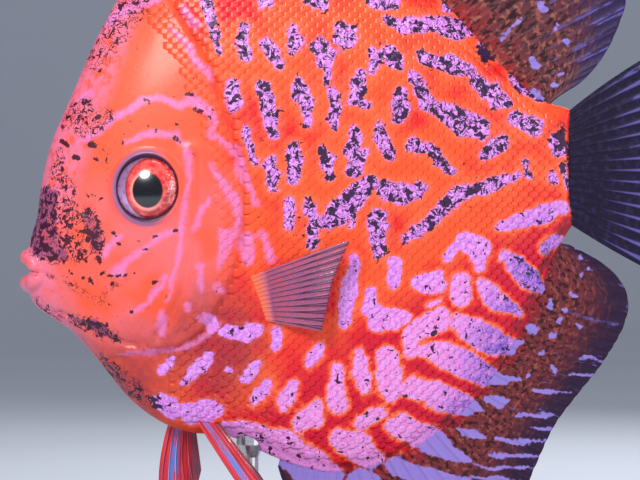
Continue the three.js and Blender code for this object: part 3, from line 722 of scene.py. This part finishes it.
def facing_out(thing):
    """Turns a closed mesh's faces to point outwards."""
    thing.data.calc_loop_triangles()
    corners = column(thing.data.loop_triangles, "vertices", 3, int)
    a, b, c = column(thing.data.vertices, "co", 3)[corners].transpose(1, 0, 2)
    if (a * np.cross(b, c)).sum() < 0:
        thing.data.flip_normals()
    return thing


# Fins
def build_fin(
        name, rays, spines, root, margin, bow, thick, wave,
        face_out=(0, 1, 0), ragged=0.5, strokes=(), rows=44, per_ray=8):
    """A thin closed web between rays that fork towards the margin.

    For each share of the fin's length, root and margin give the ray's ends, and bow how far its middle bends.
    """
    columns = rays * per_ray + 1
    share = np.linspace(0, 1, columns)
    u, v = share[:, None], np.linspace(0, 1, rows)[None, :]
    ray = u * rays
    off = ray % 1.0 - 0.5
    spiny = smoothstep(spines + 0.5, spines - 0.5, ray)
    start, end = root(share), margin(share)
    notch = ragged * 0.06 * (1 + spiny) * (0.35 + 0.65 * spiny) * (2 * off) ** 2
    end = start + (end - start) * (1 - notch)
    middle = (start + end) / 2 + bow(share)
    t = v[..., None]
    web = start[:, None] * (1 - t) ** 2 + middle[:, None] * 2 * t * (1 - t) + end[:, None] * t**2
    fork = 0.17 * smoothstep(0.35, 1.0, v) * (1 - spiny)
    width = 0.10 + 0.05 * spiny
    ridge = np.maximum(bell(off, width, fork), bell(off, width, -fork))
    segments = 0.85 + 0.15 * np.cos(v * 2 * math.pi * 26) * (1 - spiny)
    half = thick * (0.22 + 0.5 * ridge * segments * (1 - 0.6 * v) + 0.9 * (1 - v) ** 6)
    sway = wave * v**1.6 * np.sin(u * 9.0 + v * 2.2)
    lean = unit(np.array(face_out, float))
    points = np.concatenate([(web + lean * (sway + way * half)[..., None]).reshape(-1, 3) for way in (-1, 1)])
    quads, border = sheet_faces(columns, rows)
    far = columns * rows
    faces = np.concatenate([quads, quads[:, ::-1] + far, wall_faces(border, border + far)])
    fields = {"ray": ridge, "across": ray, "out": v}
    attributes = {
        key: np.tile(np.broadcast_to(value, (columns, rows)).ravel(), 2) for key, value in fields.items()}
    attributes["mark"] = np.clip(marks(strokes, *warped(points[:, 0], points[:, 2])), -3, 5)
    return facing_out(make_mesh(name, points, faces, attributes))


def in_plane(xz):
    return places(xz[..., 0], 0, xz[..., 1])


def over_flank(xz, side, out):
    return places(xz[..., 0], side * (half_thickness_at(xz[..., 0], xz[..., 1]) + out), xz[..., 1])


def middle_fin(name, line, foot, margin, pairs, rays, spines, strokes):
    """The dorsal or anal fin. Pairs say which share of the margin each share of the root reaches."""
    margin_line = Line(margin)
    first, last = (line.share_near(point) for point in foot)
    sag = FIN_SAG if line is back_line else -FIN_SAG
    return build_fin(
        name, rays, spines,
        root=lambda u: in_plane(outline_point(line, first + (last - first) * u, -1.2)),
        margin=lambda u: in_plane(margin_line.at(np.interp(u, *np.transpose(pairs)))),
        bow=lambda u: places(0, 0, sag * np.sin(math.pi * u)),
        thick=1.0, wave=0.9, ragged=0.3, strokes=strokes,
    )


def tail_fin(name):
    rear = Line(TAIL_MARGIN)
    return build_fin(
        name, 16, 0,
        root=lambda u: places(TAIL_BASE_X - 1.5, 0, 129 - 24 * u),
        margin=lambda u: in_plane(rear.at(u)),
        bow=lambda u: places(0, 0, 2 - 3.5 * u),
        thick=1.0, wave=1.0,
    )


def pectoral_fin(name, side):
    root, rear = Line(PECTORAL_ROOT), Line(PECTORAL_MARGIN)
    return build_fin(
        name, 12, 0,
        root=lambda u: over_flank(root.at(u), side, -0.8),
        margin=lambda u: over_flank(rear.at(u), side, 6 - 1.2 * u),
        bow=lambda u: places(u * 0, side * 1.2, 0),
        thick=0.55, wave=0.35, face_out=(0.28, side, 0), ragged=1.0, rows=36,
    )


def pelvic_fin(name, side):
    root_points, tip_points, forward = PELVIC[side]
    root, tips = Line(root_points), Line(tip_points)
    return build_fin(
        name, 6, 1,
        root=lambda u: over_flank(root.at(u), side, -0.8),
        margin=lambda u: in_plane(tips.at(u)) + places(0, side * (13 - 4 * u), 0),
        bow=lambda u: places(-forward * (1 - u), side * 0.8, 0),
        thick=1.1, wave=0.5, face_out=(0, side, 0.25), ragged=1.5, rows=48, per_ray=16,
    )


# Eyes: a low dome with a red iris and an oval pupil painted on, under a clear coat
def build_eye(name, side, rings=26, sides=64):
    angle = np.linspace(0, math.pi / 2, rings)[:-1]
    radius = np.append(EYE_RADIUS * 0.75, np.cos(angle) * EYE_RADIUS)[:, None, None]
    height = np.append(-EYE_DEPTH, np.sin(angle) * (EYE_DOME + EYE_WAIST) - EYE_WAIST)[:, None, None]
    axis = eye_axis(side)
    level = unit(np.cross(axis, UP))
    level *= np.sign(level[0])
    upright = np.cross(level, axis)
    upright *= np.sign(upright[2])
    turn = np.linspace(0, 2 * math.pi, sides, endpoint=False)[None, :, None]
    cup = radius * (np.cos(turn) * level + np.sin(turn) * upright) + height * axis
    points, faces = closed_rings(cup, -axis * EYE_DEPTH, axis * EYE_DOME)
    a = points @ level
    b = points @ upright
    return facing_out(make_mesh(name, points + eye_seat(side), faces, {
        "iris": np.hypot((a - 1.15) / 5.9, (b + 0.1) / 7.0),
        "pupil": np.hypot((a - 0.45) / 3.15, (b + 0.7) / 3.6),
        "level": a / EYE_RADIUS,
        "upright": b / EYE_RADIUS,
    }))


# Scales: small plates that overlap backwards, over trunk, gill cover and tail stalk
def scale_roots():
    """Where the scales are rooted on the flank, in rows set half a scale off each other."""
    x, row = np.meshgrid(np.arange(SCALES_FROM_X, TAIL_BASE_X - 1, SCALE_STEP), np.arange(105), indexing="ij")
    x = (x + (row % 2) * SCALE_STEP / 2).ravel()
    z = (SCALES_FROM_Z + row * SCALE_ROW).ravel()
    share = np.linspace(0, 1, 120)
    behind = behind_gill(x, z)
    outline = np.vstack([back_line.at(share), belly_line.at(share[::-1])])
    keep = inside(outline, x, z) & (outline_gap(x, z) > 1.6)
    keep &= np.hypot(x - EYE_X, z - EYE_Z) > 12
    keep &= (behind > -7) & (np.abs(behind + 1.2) > 1.4) & (x < 52.5) & ((x > -38) | (z > 120))
    return x[keep], z[keep]


def scale_template():
    """A closed scale, root at the origin, pointing along +X with its outer face to +Z, in millimetres."""
    outer = []
    for share, rise in ((0.0, -0.03), (0.4, 0.02), (0.78, 0.036), (1.0, 0.012)):
        for across in (-1.0, -0.5, 0.0, 0.5, 1.0):
            along = share * (0.5 + 0.5 * math.sqrt(1 - 0.8 * (share * across) ** 2))
            taper = 0.7 + 0.3 * math.sin(math.pi * min(1.0, share + 0.25))
            outer.append((SCALE_LENGTH * along, SCALE_WIDTH / 2 * across * taper, rise - 0.035 * across**2))
    quads, border = sheet_faces(4, 5)
    border = np.roll(border[::-1], 1)
    under = len(outer) + np.arange(len(border))
    points = np.vstack([outer, np.array(outer)[border] - (0, 0, SCALE_PLATE)])
    walls = np.stack([border, np.roll(border, -1), np.roll(under, -1), under], axis=-1)
    return points, quads.tolist() + walls.tolist() + [under], len(quads)


def flank_normal(x, z, side, step=0.4):
    dx = (half_thickness_at(x + step, z) - half_thickness_at(x - step, z)) / (2 * step)
    dz = (half_thickness_at(x, z + step) - half_thickness_at(x, z - step)) / (2 * step)
    return unit(places(-dx, side, -dz))


def scatter_tree(template, material):
    """A node tree that sets a copy of the template on every point of its mesh."""
    tree = bpy.data.node_groups.new("scatter_scales", "GeometryNodeTree")
    tree.interface.new_socket("Geometry", in_out="INPUT", socket_type="NodeSocketGeometry")
    size = tree.interface.new_socket("Scale size", in_out="INPUT", socket_type="NodeSocketFloat")
    size.default_value = 1.0
    tree.interface.new_socket("Geometry", in_out="OUTPUT", socket_type="NodeSocketGeometry")
    graph = Graph(tree)
    roots = graph.node("NodeGroupInput", output="Geometry")
    scale = Wire(graph, roots.socket.node.outputs["Scale size"])
    shape = graph.node("GeometryNodeObjectInfo", inputs={"Object": template}, output="Geometry")
    turn = graph.node(
        "GeometryNodeInputNamedAttribute", {"data_type": "FLOAT_VECTOR"}, {"Name": "turn"}, "Attribute")
    copies = graph.node(
        "GeometryNodeInstanceOnPoints",
        inputs={"Points": roots, "Instance": shape, "Rotation": turn, "Scale": scale})
    solid = graph.node("GeometryNodeRealizeInstances", inputs={"Geometry": copies})
    painted = graph.node("GeometryNodeSetMaterial", inputs={"Geometry": solid, "Material": material})
    graph.node("NodeGroupOutput", inputs={"Geometry": painted})
    return tree, size.identifier


def scale_turns(x, z, side):
    """How each scale is turned: backwards along the flank, and slightly unevenly."""
    random = np.random.default_rng(7 + side)
    reach = 2.2
    slopes = side * (half_thickness_at(x + reach, z) - half_thickness_at(x, z)) / reach
    turns = []
    for normal, slope in zip(flank_normal(x, z, side), slopes):
        lie = Vector((1.0, slope, random.normal(0.0, 0.04))).normalized()
        out = Vector(normal)
        out = (out - lie * out.dot(lie)).normalized()
        turns.append(tuple(Matrix((lie, out.cross(lie), out)).transposed().to_euler()))
    return np.array(turns)


def build_scales(name, side, material):
    x, z = scale_roots()
    s, v = section_at(x, z)
    proud = cover_height(behind_gill(x, z), v) - SKIN_DEPTH + 0.02
    holder = make_mesh("scale_roots", places(x, side * (half_thickness_at(x, z) + proud), z), [])
    turns = holder.data.attributes.new("turn", "FLOAT_VECTOR", "POINT")
    turns.data.foreach_set("vector", scale_turns(x, z, side).ravel())
    points, faces, tops = scale_template()
    template = make_mesh("scale_template", points, faces)
    modifier = holder.modifiers.new("scatter", "NODES")
    modifier.node_group, size_socket = scatter_tree(template, material)
    modifier[size_socket] = 1.0
    mesh = finished_mesh(holder)
    bpy.data.objects.remove(template)
    mesh.name = name
    place = column(mesh.vertices, "co", 3) / MM
    add_attributes(mesh, skin_attributes(place[:, 0], place[:, 2]))
    middles = np.stack([0.02 + 0.46 * s + (0.5 if side > 0 else 0), 0.02 + 0.96 * v], axis=-1)
    bake_map(mesh, middles, points[:, :2])
    mesh.polygons.foreach_set("use_smooth", np.arange(len(mesh.polygons)) % len(faces) < tops)
    return add_object(name, mesh)


def bake_map(mesh, middles, scale):
    """Each scale is a small patch at its root's place on the body's own unwrap."""
    low, high = scale.min(0), scale.max(0)
    local = ((scale - low) / (high - low) - 0.5) * SCALE_PATCH
    whole = (middles[:, None] + local).reshape(-1, 2)
    corner = column(mesh.loops, "vertex_index", 1, int)[:, 0]
    mesh.uv_layers.new(name="OFBake").data.foreach_set("uv", whole[corner].ravel())


# Paints
ORANGE = rgb(252, 84, 38)
RED_ORANGE = rgb(232, 26, 34)
CRIMSON = rgb(206, 0, 44)
HALO = rgb(252, 118, 72)
SALMON = rgb(242, 104, 104)
# painted shade under the pectoral fin and the jaw
PAINTED_SHADE_BROWN = rgb(150, 46, 58)
# painted rim light along the head's outline
HEAD_RIM_LIGHT = rgb(150, 62, 120)
BELLY_EDGE = rgb(112, 20, 36)
LILAC = rgb(214, 122, 222)
PALE_LILAC = rgb(234, 166, 238)
PINK_LILAC = rgb(240, 132, 206)
FACE_LILAC = rgb(226, 128, 196)
LIP_PINK = rgb(230, 118, 150)
BLUE_VIOLET = rgb(112, 84, 206)
DARK_PURPLE = rgb(30, 4, 40)
MAROON = rgb(62, 8, 28)
PATCH_PURPLE_AND_SLIT_SHADE = rgb(128, 60, 108)
SOCKET_MAUVE = rgb(150, 96, 138)
SOCKET_SHADE = rgb(66, 26, 56)
FIN_DASH = rgb(34, 10, 22)
FIN_SPOT = rgb(150, 130, 214)
PUPIL_BLACK = (0.002, 0.002, 0.004, 1.0)
# Fin paints: base, web, margin, rust and streak, then how many streaks and how strong the dashes
BROWN_FIN = (
    rgb(150, 36, 38), rgb(98, 48, 54), rgb(44, 28, 70), rgb(158, 90, 76), rgb(98, 90, 168), 1.0, 1.0)
PLUM_FIN = (
    rgb(162, 12, 36), rgb(108, 42, 48), rgb(42, 20, 50), rgb(152, 76, 62), rgb(112, 98, 176), 0.3, 1.0)
NAVY_FIN = (
    rgb(30, 17, 50), rgb(22, 13, 44), rgb(19, 12, 46), rgb(60, 50, 92), rgb(110, 100, 178), 2.0, 0.4)


def skin_material():
    """Orange over a crimson network, with lilac spots and stripes, and black flecks thickest in the spots;
    with painted shade under the pectoral fin, under the jaw, in the jaw slit, along the mouth's crease and in
    the nostril, and painted rim light along the head's outline.
    """
    look = Look("discus_skin")
    place = look.place()
    broad = look.noise(place, 75, 2)
    ragged = look.noise(place, 420, 3, 0.6)
    fine = look.noise(place, 1500, 2, 0.6)
    grit = look.noise(place, 600, 2.5, 0.62, 0.6)
    threads = look.noise(place, 430, 2, 0.5, 1.6)
    head, dark, crimson, blue, edge, orbit = map(
        look.attribute, ("head", "dark", "crimson", "blue", "edge", "orbit"))
    trunk = 1.0 - head
    wobble = (ragged - 0.5) * 1.5 + (fine - 0.5) * 0.7
    upper = look.attribute("upper") + wobble * 1.5
    lower = look.attribute("lower") + wobble
    upper_spot = look.step(upper, 0.45, -0.35) * trunk
    lower_spot = look.step(lower, 0.25, -0.25) * trunk
    near_upper = look.step(upper, 2.4, 0.2) * trunk

    network = look.mix(RED_ORANGE, CRIMSON, look.step(lower, 0.7, 1.5))
    network = look.mix(HALO, network, look.step(lower, 0.1, 0.9))
    face = look.mix(ORANGE, SALMON, look.attribute("low") * look.step(broad, 0.7, 0.35) + 0.08)
    ground = look.layers(
        ORANGE,
        (RED_ORANGE, look.step(broad, 0.42, 0.66)),
        (HALO, near_upper * 0.45),
        (network, crimson * look.step(upper, 0.0, 3.0)),
        (HALO, look.step(lower, 1.2, 0.2) * (1.0 - crimson) * 0.5),
        (face, head),
        # painted shade: brown under the pectoral fin and under the jaw
        (PAINTED_SHADE_BROWN, look.attribute("painted_shade") * (0.6 + look.step(ragged, 0.4, 0.6) * 0.2)),
        (MAROON, look.step(fine, 0.6, 0.75) * 0.2),
        # painted rim light: violet along the head's outline
        (HEAD_RIM_LIGHT, edge * head * 0.4),
        (BELLY_EDGE, edge * crimson * trunk * look.step(ragged, 0.35, 0.6)),
        (LIP_PINK, look.attribute("lip") * look.step(ragged, 0.3, 0.55) * 0.8),
    )
    lilac = look.layers(
        LILAC,
        (PINK_LILAC, crimson * (1.0 - blue)),
        (PALE_LILAC, look.step(fine, 0.4, 0.62) * 0.8),
        (BLUE_VIOLET, blue * look.step(ragged, 0.3, 0.6) * 0.8),
    )
    stripe = look.attribute("stripe") + (ragged - 0.5) * 1.5 + (fine - 0.5) * 0.5
    faded = 0.5 + look.step(ragged, 0.36, 0.54) * 0.2 + look.step(fine, 0.4, 0.6) * 0.2

    cover = 0.72 - near_upper * 0.06 - upper_spot * 0.14 - lower_spot * 0.1
    cover = cover - look.step(dark, 0.0, 0.75) * 0.22
    flecks = look.step(grit - cover, 0.0, 0.02)
    lines = look.step(look.maths("ABSOLUTE", threads - 0.5, 0.0), 0.032, 0.02)
    lines = lines * look.step(upper_spot * 0.9 + dark * 1.2 + lower_spot * blue * 0.5, 0.15, 0.6)
    dots = look.step(look.attribute("dot") + (fine - 0.5) * 1.3, 0.05, -0.1)
    inked = look.maths("MAXIMUM", look.maths("MAXIMUM", flecks, lines), dots)
    colour = look.layers(
        ground,
        (lilac, look.maths("MAXIMUM", upper_spot, lower_spot)),
        (FACE_LILAC, look.step(stripe, 0.7, -0.7) * faded),
        # purple of the nose patch and other markings, and painted shade in the jaw slit, along the mouth's
        # crease and in the nostril
        (PATCH_PURPLE_AND_SLIT_SHADE, look.step(dark, 0.5, 0.95) * (0.6 + look.step(ragged, 0.4, 0.6) * 0.3)),
        (look.mix(DARK_PURPLE, MAROON, head * 0.6), inked * 0.96),
        (SOCKET_MAUVE, look.step(orbit, 1.08, 0.98) * look.attribute("orbit_front")),
        (SOCKET_SHADE, look.step(orbit, 0.95, 0.9)),
    )
    return look.finish(
        Base_Color=colour,
        Roughness=look.step(fine, 0.0, 1.0) * 0.2 + 0.36,
        Specular_IOR_Level=0.3,
        Coat_Weight=(1.0 - inked * 0.7) * 0.14,
        Coat_Roughness=0.15,
        Subsurface_Weight=0.05,
        Subsurface_Radius=(0.003, 0.001, 0.0008),
        Normal=look.bump(fine * 0.6 + ragged * 0.4, 0.00015, 0.45),
    )


def fin_material(name, base, web, margin, rust, streak, streaks, dashes):
    """A warm base, darker margin, dark and rust dashes between rays, pale streaks along them and spots."""
    look = Look(name)
    across, out, ray = map(look.attribute, ("across", "out", "ray"))
    fine = look.noise(look.place(), 1300, 2)
    drift = look.noise(look.join(across * 0.8, out * 2.6), 1.4, 3, 0.6)
    dash = look.noise(look.join(across * 2.6, out * 16.0), 1.0, 3, 0.6)
    fleck = look.noise(look.join(across * 1.7 + 7.0, out * 24.0), 1.0, 2, 0.5)
    uneven = out + (drift - 0.5) * 0.35
    near = look.step(out, 0.95, 0.4) * dashes
    wisps = look.step(drift + (streaks - 1.0) * 0.12, 0.5, 0.6)
    colour = look.layers(
        base,
        (web, look.step(uneven, 0.02, 0.26)),
        (margin, look.step(uneven, 0.42, 0.86)),
        (rust, look.step(fleck, 0.52, 0.63) * near * 0.75),
        (FIN_DASH, look.step(dash, 0.51, 0.57) * near * 0.85),
        (streak, wisps * look.step(out, 0.25, 0.6) * look.step(ray, 0.2, 0.9) * 0.8),
        (FIN_SPOT, look.step(look.attribute("mark") + (fine - 0.5) * 0.9, 0.15, -0.25) * 0.85),
    )
    return look.finish(
        Base_Color=colour,
        Roughness=look.step(fine, 0.2, 0.8) * 0.15 + 0.42,
        Specular_IOR_Level=0.22,
        Normal=look.bump(ray + fine * 0.3, 0.0001, 0.5),
    )


def pectoral_material():
    """Mauve see-through web with dark maroon rays, orange at the root."""
    look = Look("pectoral_paint")
    out, ray = map(look.attribute, ("out", "ray"))
    fine = look.noise(look.place(), 900, 3)
    colour = look.layers(
        rgb(206, 96, 132),
        (rgb(168, 96, 150), look.step(fine + out * 0.3, 0.5, 0.75)),
        (rgb(74, 20, 52), look.step(ray, 0.25, 0.6) * look.step(out, 0.0, 0.2)),
        (rgb(236, 110, 70), look.step(out, 0.2, 0.04)),
    )
    return look.finish(
        Base_Color=colour,
        Roughness=look.step(fine, 0.2, 0.8) * 0.15 + 0.3,
        Alpha=look.step(ray + look.step(out, 0.25, 0.05), 0.2, 0.7) * 0.46 + 0.52,
        Coat_Weight=0.15,
        Normal=look.bump(ray, 0.0001, 0.5),
    )


def pelvic_material():
    """Red rays with long blue-white streaks, paler along the spine."""
    look = Look("pelvic_paint")
    across, out, ray = map(look.attribute, ("across", "out", "ray"))
    fine = look.noise(look.place(), 1100, 2)
    flow = look.noise(look.join(across * 1.5, out * 1.6), 1.3, 3, 0.6)
    band = look.step(across, 1.2, 1.7) * look.step(across, 3.2, 2.6)
    streak = look.step(flow + (fine - 0.5) * 0.15, 0.44, 0.52) * band
    colour = look.layers(
        rgb(226, 40, 56),
        (rgb(150, 22, 50), look.step(flow, 0.45, 0.62)),
        (rgb(236, 130, 150), look.step(ray, 0.5, 0.95) * 0.45),
        (rgb(72, 132, 224), streak * 0.9),
        (rgb(206, 214, 244), streak * look.step(ray, 0.4, 0.9) * 0.8),
        (rgb(92, 60, 80), look.step(across, 4.4, 5.4) * 0.75),
    )
    return look.finish(
        Base_Color=colour,
        Roughness=look.step(fine, 0.2, 0.8) * 0.15 + 0.36,
        Coat_Weight=0.2,
        Normal=look.bump(ray, 0.0001, 0.5),
    )


def eye_material():
    """A red iris with a pale glinting rear edge and a pink ring round the pupil, in a mauve eyeball."""
    look = Look("discus_eye")
    iris, pupil, level, upright = map(look.attribute, ("iris", "pupil", "level", "upright"))
    place = look.place()
    drift = look.noise(place, 650, 4, 0.6)
    fine = look.noise(place, 1900, 3, 0.6)
    low = look.step(upright * -0.6 + level * 0.5, 0.1, 0.55)
    glints = look.step(fine, 0.5, 0.62) * look.step(level + upright * 0.15, 0.5, 0.8)
    ring = look.step(pupil, 1.42, 1.2) * look.step(level * -1.0 + upright * -0.7, -0.5, 0.3)
    eyeball = look.layers(
        rgb(150, 112, 150),
        (rgb(196, 150, 200), look.step(upright * -1.0, -0.3, 0.5)),
        (rgb(96, 64, 104), look.step(drift, 0.5, 0.68) * 0.5),
    )
    colour = look.layers(
        rgb(226, 44, 48),
        (rgb(240, 92, 84), look.step(drift, 0.4, 0.6)),
        (rgb(150, 8, 28), low * look.step(drift, 0.62, 0.4) * 0.8),
        (rgb(250, 190, 200), glints * 0.75),
        (rgb(250, 150, 140), ring),
        (rgb(120, 16, 34), look.step(iris, 0.9, 1.0) * 0.7),
        (eyeball, look.step(iris + (drift - 0.5) * 0.06, 1.0, 1.05)),
        (rgb(60, 8, 22), look.step(pupil, 1.16, 1.08)),
        (PUPIL_BLACK, look.step(pupil, 1.04, 0.99)),
    )
    return look.finish(Base_Color=colour, Roughness=0.2, Coat_Weight=1.0, Coat_Roughness=0.02)


def wood_material():
    look = Look("stand_wood")
    stretched = look.stretched((8.0, 90.0, 60.0))
    grain = look.noise(stretched, 3.0, 5, 0.65)
    pores = look.noise(stretched, 22.0, 2)
    colour = look.layers(
        rgb(44, 30, 24),
        (rgb(82, 56, 40), look.step(grain, 0.35, 0.65)),
        (rgb(26, 18, 15), look.step(pores, 0.6, 0.7) * 0.7),
    )
    return look.finish(
        Base_Color=colour,
        Roughness=look.step(grain, 0.2, 0.8) * 0.15 + 0.32,
        Coat_Weight=0.3,
        Coat_Roughness=0.15,
        Normal=look.bump(pores, 0.0001, 0.4),
    )


def steel_material():
    look = Look("stand_steel")
    lines = look.noise(look.stretched((60.0, 60.0, 2500.0)), 1.0, 2)
    return look.finish(
        Base_Color=look.mix(rgb(176, 178, 182), rgb(208, 209, 212), lines),
        Metallic=1.0, Roughness=lines * 0.2 + 0.22, Normal=look.bump(lines, 0.00003, 0.4))


def paper_material():
    look = Look("pale_paper")
    colour = look.mix(rgb(200, 205, 216), rgb(192, 198, 210), look.noise(look.place(), 6.0, 2))
    return look.finish(Base_Color=colour, Roughness=0.9, Emission_Color=colour, Emission_Strength=0.12)


def paint(thing, material):
    thing.data.materials.clear()
    thing.data.materials.append(material)


def dress(thing, material, nodes):
    paint(thing, material)
    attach(thing, "root")
    if nodes:
        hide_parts(*nodes)


def camera_and_light():
    """The photograph's view, square on to the middle plane, and four soft lamps."""
    scene = bpy.context.scene
    across, up = at_photo(FRAME_WIDTH / 2, PHOTO_Y)
    camera = bpy.data.cameras.new("camera")
    camera.lens = camera.sensor_width * CAMERA_DISTANCE / (FRAME_WIDTH * PIXEL)
    camera.clip_start = 0.01
    eye = add_object("camera", camera)
    eye.location = (across * MM, -CAMERA_DISTANCE * MM, up * MM)
    eye.rotation_euler = (math.pi / 2, 0, 0)
    scene.camera = eye
    for name, place, size, power in LAMPS:
        light = bpy.data.lights.new(name, "AREA")
        light.shape = "DISK"
        light.size = size
        light.energy = power
        lamp = add_object(name, light)
        lamp.location = place
        lamp.visible_camera = False
        lamp.rotation_euler = (LAMP_AIM - Vector(place)).to_track_quat("-Z", "Y").to_euler()
    world = bpy.data.worlds.new("studio")
    world.use_nodes = True
    sky = world.node_tree.nodes["Background"].inputs
    sky["Color"].default_value = (0.9, 0.92, 1.0, 1.0)
    sky["Strength"].default_value = 0.22
    scene.world = world
    scene.view_settings.view_transform = "Standard"


def floor_and_backdrop(sides=96):
    """A pale round floor that sweeps up into a low wall all round the stand."""
    turn = np.linspace(0, math.pi / 2, 16)
    radius = np.concatenate([[300.0, 1200.0], 2000 + 600 * np.sin(turn), [2600.0]])[:, None]
    height = np.concatenate([[0.0, 0.0], 600 - 600 * np.cos(turn), [2400.0]])[:, None]
    angle = np.linspace(0, 2 * math.pi, sides, endpoint=False)
    rings = places(radius * np.cos(angle), radius * np.sin(angle), height)
    faces = [face[::-1] for face in ring_faces(len(rings), sides)] + [range(sides)]
    sheet = make_mesh("backdrop", rings.reshape(-1, 3), faces)
    paint(sheet, paper_material())


camera_and_light()
floor_and_backdrop()

skin_paint = skin_material()
dress(build_skin(), skin_paint, ("head", "trunk", "tail_stalk"))
for name, side in (("scales_left", -1), ("scales_right", 1)):
    dress(build_scales(name, side, skin_paint), skin_paint, ())

dorsal = middle_fin("dorsal_fin", back_line, DORSAL_FOOT, DORSAL_MARGIN, DORSAL_PAIRS, 40, 9, DORSAL_FLECKS)
dress(dorsal, fin_material("dorsal_paint", *BROWN_FIN), ("dorsal_fin_front", "dorsal_fin_rear"))
anal_marks = ANAL_STREAKS + LOWER_SPOTS
anal = middle_fin("anal_fin", belly_line, ANAL_FOOT, ANAL_MARGIN, ANAL_PAIRS, 37, 8, anal_marks)
dress(anal, fin_material("anal_paint", *PLUM_FIN), ("anal_fin_front", "anal_fin_rear"))
dress(tail_fin("tail_fan"), fin_material("tail_paint", *NAVY_FIN), ("tail_fin",))

web_paint = pectoral_material()
pelvic_paint = pelvic_material()
eye_paint = eye_material()
for name, side in (("left", -1), ("right", 1)):
    dress(pectoral_fin("pectoral_" + name, side), web_paint, ("pectoral_fin_" + name,))
    dress(pelvic_fin("pelvic_" + name, side), pelvic_paint, ("pelvic_fin_" + name,))
    dress(build_eye("eyeball_" + name, side), eye_paint, ("eye_" + name,))

for name, material in (("stand_base", wood_material()), ("stand_rod", steel_material())):
    paint(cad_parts[name], material)
